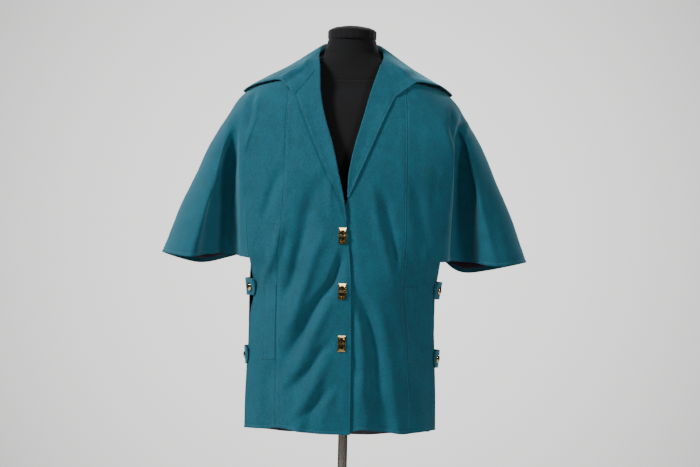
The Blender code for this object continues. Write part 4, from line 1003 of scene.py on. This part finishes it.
def sleeve_level(hem, place, share):
    """Height on a sleeve; at both seams it is the body's own height."""
    front = CAPE_FRONT + (NECK_FRONT - CAPE_FRONT) * share
    back = CAPE_BACK + (NECK_BACK - CAPE_BACK) * share
    level = front + (back - front) * place
    drop = hem.at("height", place) - (CAPE_FRONT + (CAPE_BACK - CAPE_FRONT) * place)
    top = NECK_SIDE - (NECK_FRONT + NECK_BACK) / 2
    return level + drop * (1 - share) ** 2 + top * share ** 2 * (1 - (place * 2 - 1) ** 2)


def sleeve_grid(sign):
    """Points of a cape sleeve from the neck over the shoulder to its hem."""
    columns, rows = 120, 116
    i, j = steps(columns, rows)
    down = spread(j, rows, NECK_FRONT - CAPE_FRONT)
    share = down / (NECK_FRONT - CAPE_FRONT)
    girth = 0.10 + 0.38 * (1 - share)
    across = spread(i, columns, girth)
    place = 0.0012 + across / girth * 0.9976
    z = sleeve_level(CAPE_HEMS[sign], place, share)
    points = sleeve_surface(sign, place, z)
    normals = surface_normal(lambda a, h: sleeve_surface(sign, np.clip(a, 0, 1), h), place, z,
                             0.004, 0.003) * sign
    relief = border_relief("seam", across, z, 3) + border_relief("seam", girth - across, z, 5)
    relief += border_relief("hem", down, across, 7)
    inside = smooth(0.0, 0.012, np.minimum(across, girth - across))
    relief += UNEVEN_SLEEVE * waver(across, z, 41 + sign) * inside
    creases = fold_height(CREASES_SLEEVES[sign], points[..., 0], z)
    relief += creases * inside * (1 - smooth(0.40, 0.50, place))
    return points + normals * relief[..., None]


def lapel_grid(sign):
    """Points of a lapel, from behind its soft roll out to its free edge."""
    lapel = LAPELS[sign]
    turn, columns, rows = 8, 40, 96
    i, j = steps(columns - turn, rows)
    v = 0.010 + 0.990 * j / rows
    start = lapel.key[0]
    roll_z = start + (NECK_FRONT - start) * v
    edge_z = start + (NOTCH_HEIGHT - start) * v
    roll_x, edge_x = lapel.at("roll", roll_z), lapel.at("edge", edge_z)
    width = np.maximum(np.hypot(edge_x - roll_x, edge_z - roll_z), 0.0005)
    across = spread(i, columns - turn, np.maximum(width, 0.022)) * width / np.maximum(width, 0.022)
    u = across / width
    x, z = roll_x + (edge_x - roll_x) * u, roll_z + (edge_z - roll_z) * u
    lift = SUEDE + LAPEL_GAP + LAPEL_ROLL_LIFT * (1 - u) ** 2 * smooth(0.0, 0.15, v)
    lift += LAPEL_EDGE_LIFT * smooth(0.5, 1.0, u) * smooth(0.0, 0.2, v) * (1 - smooth(0.9, 1.0, v))
    points, normals = front_with_normals(x, z)
    relief = border_relief("edge", width - across, roll_z, 13) * smooth(0.0, 0.05, v)
    relief += UNEVEN_FRONT * waver(x, z, 51 + sign) * u
    points = points + normals * (lift + relief - underlap(sign, x, z))[..., None]
    # The roll: half a turn from the front's level up to the lapel's
    toward = unit(points[:, :1] - points[:, 3:4])
    radius = lift[:, :1, None] / 2
    angle = (np.arange(turn) / turn * pi)[None, :, None]
    base = points[:, :1] - normals[:, :1] * radius * 2
    rolled = base + normals[:, :1] * radius * (1 - np.cos(angle)) + toward * radius * np.sin(angle)
    return np.concatenate([rolled, points], axis=1)


def gorge_blend(first, second, share):
    """Points between the straight gorge and the collar's own run."""
    return first + (second - first) * share[..., None]


def collar_grid():
    """Points of the collar: run from gorge to gorge, across from the neck to the free edge."""
    columns, rows = 150, 54
    i, j = steps(columns, rows)
    run = i / columns * 2
    at = np.minimum(run, 2 - run)
    across = j / rows
    halves = []
    for sign in (-1, 1):
        neck_ring, edge_ring = COLLAR.at("neck_ring", at), COLLAR.at("edge_ring", at)
        neck_z = sleeve_level(CAPE_HEMS[-1], np.clip(neck_ring - 1, 0, 1), np.ones_like(at))
        surface = lambda a, h: ring_surface(sign, a, h)
        gorge = smooth(0.0, 0.16, at)
        lift = LAPEL_LEVEL + (COLLAR_LIFT - LAPEL_LEVEL) * gorge
        roll = np.stack([centre(neck_z) + sign * COLLAR.at("roll_x", at), COLLAR.at("roll_y", at),
                         COLLAR.at("roll_z", at)], -1)
        out = surface_normal(surface, neck_ring, neck_z, *RING_STEPS) * sign
        t = np.clip((across - STAND_SHARE) / (1 - STAND_SHARE), 0, 1)
        z = neck_z + (COLLAR.at("edge_z", at) - neck_z) * t
        ring = neck_ring + (edge_ring - neck_ring) * t
        lapel = LAPELS[sign]
        start, end = lapel.values["roll"][-1], lapel.at("edge", NOTCH_HEIGHT)
        join = front_surface(start + (end - start) * t,
                             NECK_FRONT + (NOTCH_HEIGHT - NECK_FRONT) * t)
        neck = gorge_blend(front_surface(start + 0 * t, NECK_FRONT + 0 * t),
                           surface(neck_ring, neck_z), gorge)
        spot = gorge_blend(join, surface(ring, z), gorge)
        spot_out = surface_normal(surface, ring, z, *RING_STEPS) * sign
        hold = (1 - t) * (1 - gorge) + (1 - smooth(0.0, ROLL_HOLD, t)) ** 1.2 * gorge
        crown = FALL_CROWN * np.sin(pi * np.minimum(t / 0.7, 1.0)) * (0.2 + 0.8 * gorge) + lift
        crown += NECK_FALL_LIFT * gorge * smooth(0.0, 0.12, t) * (1 - smooth(0.35, 0.6, t))
        tip = TIP_LIFTS[sign] * np.exp(-((at - TIP_PLACE) / TIP_SPREAD) ** 2)
        crown += (tip + COLLAR_EDGE_LIFT * gorge) * smooth(0.45, 1.0, t)
        crown += NOTCH_LIFT * smooth(0.6, 1.0, t) * smooth(0.0, 0.05, at)
        rest = neck + out * lift[..., None]
        corner = front_surface(start + 0 * at, NECK_FRONT + 0 * at)
        corner = corner + [0, -LAPEL_LEVEL - CORNER_DROP, 0]
        roll = corner + (roll - corner) * smooth(-0.02, 0.09, at)[..., None]
        fall = spot + spot_out * crown[..., None] + (roll - rest) * hold[..., None]
        t = np.clip(across / STAND_SHARE, 0, 1)[..., None]
        stand = (neck + [0, 0, STAND_START]) * (1 - t) + roll * t
        stand -= out * np.sin(pi * t) * STAND_HOLLOW
        halves.append(np.where((across < STAND_SHARE)[..., None], stand, fall))
    points = np.where((run < 1)[..., None], halves[0], halves[1])
    for _ in range(6):
        points[1:-1] = (points[:-2] + 2 * points[1:-1] + points[2:]) / 4
        points[:, 1:-1] = (points[:, :-2] + 2 * points[:, 1:-1] + points[:, 2:]) / 4
    normals = grid_normals(points, COLLAR_OUTWARD)
    rise = fold_height(CREASES_COLLAR, points[..., 0], points[..., 2])
    rise *= (across > STAND_SHARE) * (points[..., 1] < 0) * smooth(0.0, 0.1, at)
    return points + normals * rise[..., None]


def welt_grid(sign):
    """Points of a pocket welt, which lies on the side front beside the princess seam."""
    columns, rows = 20, 50
    i, j = steps(columns, rows)
    z = WELT_BOTTOM + spread(j, rows, WELT_TOP - WELT_BOTTOM)
    across = spread(i, columns, WELT_WIDTH)
    x = front_outer(sign, z) + sign * (WELT_START + across)
    points, normals = front_with_normals(x, z)
    relief = border_relief("edge", np.minimum(across, WELT_WIDTH - across), z, 3)
    return points + normals * (relief + WELT_LIFT)[..., None]


def tab_grid(sign, middle_z, stand, lift):
    """Points of a side tab from its blunt front end over the slit to the back."""
    columns, rows = 48, 22
    i, j = steps(columns, rows)
    u, v = i / columns, j / rows
    reach = TAB_HEIGHT / 2 * (1 - 0.75 * (1 - smooth(0.0, 0.22, u)) ** 1.5)
    rise = (v * 2 - 1) * reach
    z = middle_z + rise
    spots = []
    for table, inset in ((FRONT, TAB_LAP_FRONT), (FRONT, 0.0), (BACK, 0.0), (BACK, TAB_LAP_BACK)):
        surface = back_surface if table is BACK else front_surface
        x = middle_of(table, z) + sign * (table.at("seam_x", z) - inset)
        out = surface_normal(surface, x, z, TRIM_STEP, TRIM_STEP) * (-1 if table is BACK else 1)
        spots.append(surface(x, z) + out * lift)
    spots.insert(2, (spots[1] + spots[2]) / 2 + [sign * stand, 0, 0])
    spots = np.stack(spots)
    path = np.stack([blend(spots[..., k], u) for k in range(3)], -1)
    run = np.gradient(path, axis=1)
    out = unit(np.cross(run, np.array([0, 0, sign])))
    relief = UNEVEN_TAB * waver(u * 0.09, z, 71)
    return path + out * (np.maximum(rise + TAB_HEIGHT / 2, 0) * TAB_TILT + relief)[..., None]


def sew(name, lines):
    """Stitches along lines, in thread of the suede's colour."""
    sizes = bpy.context.scene.jacket_sizes
    thread = stitches(name, lines, paint_of("thread"), sizes.stitch_pitch,
                      sizes.stitch_pitch * STITCH_SHARE, sizes.stitch_radius)


def build_panel(name, points, outward, nodes, lines, kind="suede",
                thickness=SUEDE, offset=0.0):
    """One cloth piece with its stitches."""
    piece = shell(name, points, outward, thickness, paint_of(kind), offset)
    declare(points, nodes)
    if lines:
        sew(name + "_stitches", [sewn_line(points, outward, **line) for line in lines])


class JacketSizes(bpy.types.PropertyGroup):
    """Sizes of the sewing."""
    stitch_pitch: bpy.props.FloatProperty(
        name="Stitch pitch", description="Length of one stitch with its gap", default=0.0034,
        unit="LENGTH")
    stitch_radius: bpy.props.FloatProperty(
        name="Thread radius", description="Half the thickness of the sewing thread",
        default=0.00022, unit="LENGTH")


class JacketLooks(bpy.types.PropertyGroup):
    """Colours of the cloth, the metal, the form and the stage."""
    suede: bpy.props.FloatVectorProperty(
        name="Suede", description="Colour of the suede", subtype="COLOR", size=3,
        default=(0.0085, 0.060, 0.086))
    # The satin's own plum, made about a third darker as painted shade, so that the lining at the hem
    # looks shaded
    lining: bpy.props.FloatVectorProperty(
        name="Lining", description="Colour of the satin", subtype="COLOR", size=3,
        default=(0.024, 0.009, 0.019))
    gold: bpy.props.FloatVectorProperty(
        name="Gold metal", description="Colour of the clasps and studs", subtype="COLOR", size=3,
        default=(0.83, 0.60, 0.26))
    jersey: bpy.props.FloatVectorProperty(
        name="Jersey", description="Colour of the form's cover", subtype="COLOR", size=3,
        default=(0.0024, 0.0024, 0.0028))
    steel: bpy.props.FloatVectorProperty(
        name="Steel", description="Colour of the pole and base", subtype="COLOR", size=3,
        default=(0.46, 0.42, 0.36))
    thread: bpy.props.FloatVectorProperty(
        name="Thread", description="Colour of the sewing thread", subtype="COLOR", size=3,
        default=(0.012, 0.085, 0.120))
    stage: bpy.props.FloatVectorProperty(
        name="Stage", description="Colour of the floor", subtype="COLOR", size=3,
        default=(0.56, 0.56, 0.565))


class JACKET_OT_fronts(bpy.types.Operator):
    """Make both fronts and both side fronts"""
    bl_idname = "jacket.fronts"
    bl_label = "Fronts"

    def execute(self, context):
        for sign, side in SIDES:
            build_panel(f"front_{side}_cloth", front_grid(sign), (0, -1, 0), [f"front_{side}"],
                        [{"column": -5}, {"row": 6}])
            build_panel(f"side_front_{side}_cloth", side_front_grid(sign), (sign * 0.3, -1, 0),
                        [f"side_front_{side}"], [{"row": 6}])
        sew("front_right_corner_stitches", [sewn_path(SEWN_CORNER)])
        return {"FINISHED"}


class JACKET_OT_back(bpy.types.Operator):
    """Make the back and its lining"""
    bl_idname = "jacket.back"
    bl_label = "Back"

    def execute(self, context):
        points = back_grid()
        build_panel("back_cloth", points, (0, 1, 0), ["back"], [{"row": 6}])
        build_panel("back_lining_cloth", points[BACK_LINING], (0, 1, 0), ["back_lining"], [],
                    kind="lining", thickness=SATIN, offset=LINING_INSET)
        return {"FINISHED"}


class JACKET_OT_sleeves(bpy.types.Operator):
    """Make both cape sleeves and their linings"""
    bl_idname = "jacket.sleeves"
    bl_label = "Sleeves"

    def execute(self, context):
        for sign, side in SIDES:
            points = sleeve_grid(sign)
            build_panel(f"sleeve_{side}_cloth", points, (sign, 0, 0), [f"sleeve_{side}"],
                        [{"row": 6}])
            build_panel(f"sleeve_lining_{side}_cloth", points[SLEEVE_LINING], (sign, 0, 0),
                        [f"sleeve_lining_{side}"], [], kind="lining",
                        thickness=SATIN, offset=LINING_INSET)
        return {"FINISHED"}


class JACKET_OT_lapels(bpy.types.Operator):
    """Make both lapels and the collar"""
    bl_idname = "jacket.lapels"
    bl_label = "Lapels and collar"

    def execute(self, context):
        for sign, side in SIDES:
            build_panel(f"lapel_{side}_cloth", lapel_grid(sign), (0, -1, 0), [f"lapel_{side}"],
                        [{"column": -5}])
        build_panel("collar_cloth", collar_grid(), COLLAR_OUTWARD, ["collar"], [{"row": -3}])
        return {"FINISHED"}


class JACKET_OT_trims(bpy.types.Operator):
    """Make the pocket welts and the side tabs"""
    bl_idname = "jacket.trims"
    bl_label = "Welts and tabs"

    def execute(self, context):
        for sign, side in SIDES:
            build_panel(f"pocket_welt_{side}_cloth", welt_grid(sign), (0, -1, 0),
                        [f"pocket_welt_{side}"],
                        [{"column": 4}, {"column": -5}, {"row": 1}, {"row": -2}],
                        thickness=WELT_SUEDE)
        for place, tab in TABS.items():
            build_panel(f"tab_{place}_cloth", tab_grid(*tab), (tab[0], 0, 0), [f"tab_{place}"], [])
        return {"FINISHED"}


def rounded_outline(width, height, corner, count=40):
    """Points round a rectangle with round corners."""
    angle = (np.arange(count) + 0.5) / count * 2 * pi
    corner = min(corner, width / 2, height / 2)
    x = np.copysign(width / 2 - corner, np.cos(angle)) + corner * np.cos(angle)
    y = np.copysign(height / 2 - corner, np.sin(angle)) + corner * np.sin(angle)
    return x, y


def ringed(name, loops, kind, place, body, node, ring=False, bulge=0.0):
    """Body from outlines (width, height, corner, level), capped or closed into a ring."""
    bm = bmesh.new()
    reach = max(height for width, height, corner, level in loops) / 2
    made = []
    for width, height, corner, level in loops:
        x, y = rounded_outline(width, height, corner)
        circle = bmesh.ops.create_circle(bm, segments=len(x), radius=1.0)["verts"]
        for vert, px, py in zip(circle, x, y):
            vert.co = (px, py, level + bulge * (1 - (py / reach) ** 2) * (level > 0.0002))
        made.append({edge for vert in circle for edge in vert.link_edges})
    pairs = list(zip(made, made[1:]))
    if ring:
        pairs.append((made[-1], made[0]))
    for first, second in pairs:
        bmesh.ops.bridge_loops(bm, edges=[*first, *second])
    if not ring:
        bmesh.ops.holes_fill(bm, edges=[edge for edge in bm.edges if edge.is_boundary])
    bmesh.ops.recalc_face_normals(bm, faces=bm.faces)
    bm.transform(place)
    piece = link(name, bm, paint_of(kind), body)
    piece.data.set_sharp_from_angle(angle=radians(38))
    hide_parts(node)


def facing(spot, out):
    """Place whose +Z looks along a direction, with +Y near up."""
    out = Vector(out)
    side = Vector((0, 0, 1)).cross(out).normalized()
    turn = Matrix((side, out.cross(side).normalized(), out)).transposed().to_4x4()
    return Matrix.Translation(spot) @ turn


def build_clasp(number, x, z):
    """Turn-lock clasp: framed plate round a slot, base under the slot and turn lever."""
    x, z = np.array(x), np.array(z)
    spot = front_surface(x, z)
    out = surface_normal(front_surface, x, z, TRIM_STEP, TRIM_STEP)
    seat = SUEDE / 2 + SEAM_GAP
    wide, high = CLASP_WIDTH, CLASP_HEIGHT
    slot_wide, slot_high = SLOT_WIDTH, SLOT_HEIGHT
    plate = [(wide, high, 0.0015, 0.0), (wide, high, 0.0015, 0.0011),
             (wide - 0.0009, high - 0.0009, 0.0012, CLASP_DEPTH),
             (wide - 0.0026, high - 0.0026, 0.0009, CLASP_DEPTH),
             (wide - 0.0032, high - 0.0032, 0.0008, 0.0013),
             (slot_wide + 0.0026, slot_high + 0.0026, 0.01, 0.0013),
             (slot_wide + 0.0020, slot_high + 0.0020, 0.01, 0.0020),
             (slot_wide + 0.0006, slot_high + 0.0006, 0.01, 0.0020),
             (slot_wide, slot_high, 0.01, 0.0014), (slot_wide, slot_high, 0.01, 0.0)]
    place = facing(spot + out * seat, out)
    ringed(f"clasp_{number}_frame", plate, "gold_metal", place, BODY, f"clasp_{number}_plate", True,
           CLASP_BULGE)
    low = -UNDERLAP + SUEDE / 2 + SEAM_GAP
    wide, high = SLOT_WIDTH - 0.0010, SLOT_HEIGHT - 0.0010
    base = [(wide, high, 0.01, low), (wide, high, 0.01, seat + 0.0004),
            (wide - 0.0006, high - 0.0006, 0.01, seat + 0.0009),
            (wide - 0.0020, high - 0.0020, 0.01, seat + 0.0009),
            (wide - 0.0026, high - 0.0026, 0.01, seat + 0.0003),
            (0.0044, 0.0044, 0.0022, seat + 0.0003), (0.0040, 0.0040, 0.0020, seat + 0.0014)]
    ringed(f"clasp_{number}_seat", base, "gold_metal", facing(spot, out), BODY,
           f"clasp_{number}_base")
    top = seat + CLASP_DEPTH + CLASP_BULGE + 0.0004
    bar = [(0.0030, 0.0030, 0.0015, low + 0.0021), (0.0030, 0.0030, 0.0015, top),
           (LEVER_LENGTH - 0.0012, LEVER_WIDTH - 0.0010, 0.0016, top),
           (LEVER_LENGTH, LEVER_WIDTH, 0.0020, top + 0.0006),
           (LEVER_LENGTH, LEVER_WIDTH, 0.0020, top + 0.0014),
           (LEVER_LENGTH - 0.0010, LEVER_WIDTH - 0.0010, 0.0016, top + 0.0020),
           (0.0072, 0.0034, 0.0017, top + 0.0021), (0.0060, 0.0030, 0.0015, top + 0.0015)]
    ringed(f"clasp_{number}_bar", bar, "gold_metal", facing(spot, out), LEVERS[number - 1],
           f"clasp_{number}_lever")


def build_stud(name, thing):
    """Round domed stud on the axis and seat of the plain one."""
    points = np.array([thing.matrix_world @ vert.co for vert in thing.data.vertices])
    middle = points.mean(axis=0)
    out = np.linalg.svd(points - middle, full_matrices=False)[2][2]
    rise = (points - middle) @ out
    around = np.linalg.norm(points - middle - rise[:, None] * out, axis=1)
    if around[rise > 0].mean() > around[rise < 0].mean():
        out, rise = -out, -rise
    low, high, radius = rise.min(), rise.max(), around.max()
    loops = [(2 * radius * across, 2 * radius * across, radius * across * 0.9999,
              low + (high - low) * level) for across, level in STUD_PROFILE]
    ringed(f"{name}_dome", loops, "gold_metal", facing(middle, out), BODY, name)


class JACKET_OT_metal(bpy.types.Operator):
    """Make the clasps and finish the studs and the stand"""
    bl_idname = "jacket.metal"
    bl_label = "Metal"

    def execute(self, context):
        for number, (x, z) in enumerate(CLASPS, start=1):
            build_clasp(number, x, z)
        for name, thing in list(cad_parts.items()):
            if "stud" in name:
                build_stud(name, thing)
            elif name.startswith("stand"):
                thing.material_slots[0].material = paint_of("stand_steel")
        return {"FINISHED"}


class JACKET_OT_form(bpy.types.Operator):
    """Make the dress form's torso"""
    bl_idname = "jacket.form"
    bl_label = "Dress form"

    def execute(self, context):
        columns, rows = 96, 150
        bm = bmesh.new()
        bmesh.ops.create_grid(bm, x_segments=columns, y_segments=rows, size=0.5)
        for vert in bm.verts:
            z = np.interp(vert.co.y + 0.5, FORM_SHARES, FORM_ROWS)
            angle = (vert.co.x + 0.5) * 2 * pi
            width = min(FORM.at("width", z), SLEEVES[-1].at("tip", z) - SHOULDER_SEAT)
            seam = NECK_SEAM + NECK_SEAM_RISE * cos(angle) ** 2
            groove = -0.0011 * exp(-((z - seam) / 0.0016) ** 2)
            groove += 0.0006 * exp(-((z - seam + 0.0040) / 0.0022) ** 2)
            depth = FORM.at("back" if sin(angle) > 0 else "front", z) + groove
            lean = -max(z - NECK_LEAN_START, 0.0) * NECK_LEAN
            vert.co = (centre(z) + (width + groove) * cos(angle), depth * sin(angle) + lean, z)
        bmesh.ops.remove_doubles(bm, verts=bm.verts, dist=0.00001)
        bmesh.ops.holes_fill(bm, edges=[edge for edge in bm.edges if edge.is_boundary])
        bmesh.ops.recalc_face_normals(bm, faces=bm.faces)
        form = link("form", bm, paint_of("form_jersey"))
        form.data.set_sharp_from_angle(angle=radians(50))
        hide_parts("form_torso")
        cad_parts["form_neck_cap"].material_slots[0].material = paint_of("form_jersey")
        return {"FINISHED"}


def light_the_set(context):
    """World with a pale backdrop that lights little, painted lighter in its middle and darker at its
    edges, and the soft lamps.
    """
    world = bpy.data.worlds.new("studio")
    context.scene.world = world
    world.use_nodes = True
    tree = world.node_tree
    nodes, links = tree.nodes, tree.links
    seen = nodes["Background"]
    lighting = nodes.new("ShaderNodeBackground")
    ray = nodes.new("ShaderNodeLightPath")
    join = nodes.new("ShaderNodeMixShader")
    links.new(ray.outputs["Is Camera Ray"], join.inputs[0])
    links.new(lighting.outputs[0], join.inputs[1])
    links.new(seen.outputs[0], join.inputs[2])
    links.new(join.outputs[0], nodes["World Output"].inputs[0])
    place = nodes.new("ShaderNodeTexCoord")
    apart = nodes.new("ShaderNodeSeparateXYZ")
    links.new(place.outputs["Generated"], apart.inputs[0])
    # The room's light is darker below and lighter above. The backdrop that the camera sees has a
    # painted pool of light round the middle of the view and painted shade towards its edges
    for shader, source, span, low, high in ((lighting, "Z", (-0.6, 0.9), ROOM_LOW, ROOM_HIGH),
                                            (seen, "Y", (0.966, 1.0), BACKDROP_SHADED_EDGE,
                                             BACKDROP_LIT_MIDDLE)):
        ramp = nodes.new("ShaderNodeMapRange")
        ramp.inputs["From Min"].default_value, ramp.inputs["From Max"].default_value = span
        mix = nodes.new("ShaderNodeMix")
        mix.data_type = "RGBA"
        mix.inputs[6].default_value = (*low, 1.0)
        mix.inputs[7].default_value = (*high, 1.0)
        links.new(apart.outputs[source], ramp.inputs["Value"])
        links.new(ramp.outputs[0], mix.inputs[0])
        links.new(mix.outputs[2], shader.inputs["Color"])
    for name, spot, aim, size, power in LAMPS:
        lamp = bpy.data.lights.new(name, "AREA")
        lamp.shape = "DISK"
        lamp.size = size
        lamp.energy = power
        light = bpy.data.objects.new(name, lamp)
        light.location = spot
        light.rotation_euler = (Vector(aim) - Vector(spot)).to_track_quat("-Z", "Y").to_euler()
        context.scene.collection.objects.link(light)


class JACKET_OT_stage(bpy.types.Operator):
    """Set the floor, the light and the camera"""
    bl_idname = "jacket.stage"
    bl_label = "Stage"

    def execute(self, context):
        bm = bmesh.new()
        bmesh.ops.create_circle(bm, cap_ends=True, segments=96, radius=FLOOR_RADIUS)
        floor = link("floor", bm, paint_of("stage"), body=None)
        light_the_set(context)
        lens = bpy.data.cameras.new("camera")
        lens.sensor_width = SENSOR
        lens.lens = SENSOR / 2 / tan(CAMERA_HALF_ANGLE)
        camera = bpy.data.objects.new("camera", lens)
        camera.matrix_world = (Matrix.Translation(CAMERA_SPOT) @ Matrix.Rotation(pi / 2, 4, "X")
                               @ Matrix.Rotation(CAMERA_TURN, 4, "Z"))
        context.scene.collection.objects.link(camera)
        context.scene.camera = camera
        return {"FINISHED"}


OPERATORS = (JACKET_OT_fronts, JACKET_OT_back, JACKET_OT_sleeves, JACKET_OT_lapels,
             JACKET_OT_trims, JACKET_OT_metal, JACKET_OT_form, JACKET_OT_stage)


class JACKET_PT_panel(bpy.types.Panel):
    """Steps that build the jacket, in order"""
    bl_idname = "JACKET_PT_panel"
    bl_label = "Jacket"
    bl_space_type = "VIEW_3D"
    bl_region_type = "UI"
    bl_category = "Jacket"

    def draw(self, context):
        for group in (context.scene.jacket_sizes, context.scene.jacket_looks):
            for name in group.__annotations__:
                self.layout.prop(group, name)
        for operator in OPERATORS:
            self.layout.operator(operator.bl_idname)


CLASSES = (JacketSizes, JacketLooks, *OPERATORS, JACKET_PT_panel)


def register():
    """Add the classes and the settings."""
    for item in CLASSES:
        bpy.utils.register_class(item)
    bpy.types.Scene.jacket_sizes = bpy.props.PointerProperty(type=JacketSizes)
    bpy.types.Scene.jacket_looks = bpy.props.PointerProperty(type=JacketLooks)


def unregister():
    """Remove the settings and the classes."""
    del bpy.types.Scene.jacket_looks
    del bpy.types.Scene.jacket_sizes
    for item in reversed(CLASSES):
        bpy.utils.unregister_class(item)


def main():
    """Add the classes and build every piece."""
    register()
    for operator in OPERATORS:
        group, name = operator.bl_idname.split(".")
        getattr(getattr(bpy.ops, group), name)()


if __name__ == "__main__":
    main()
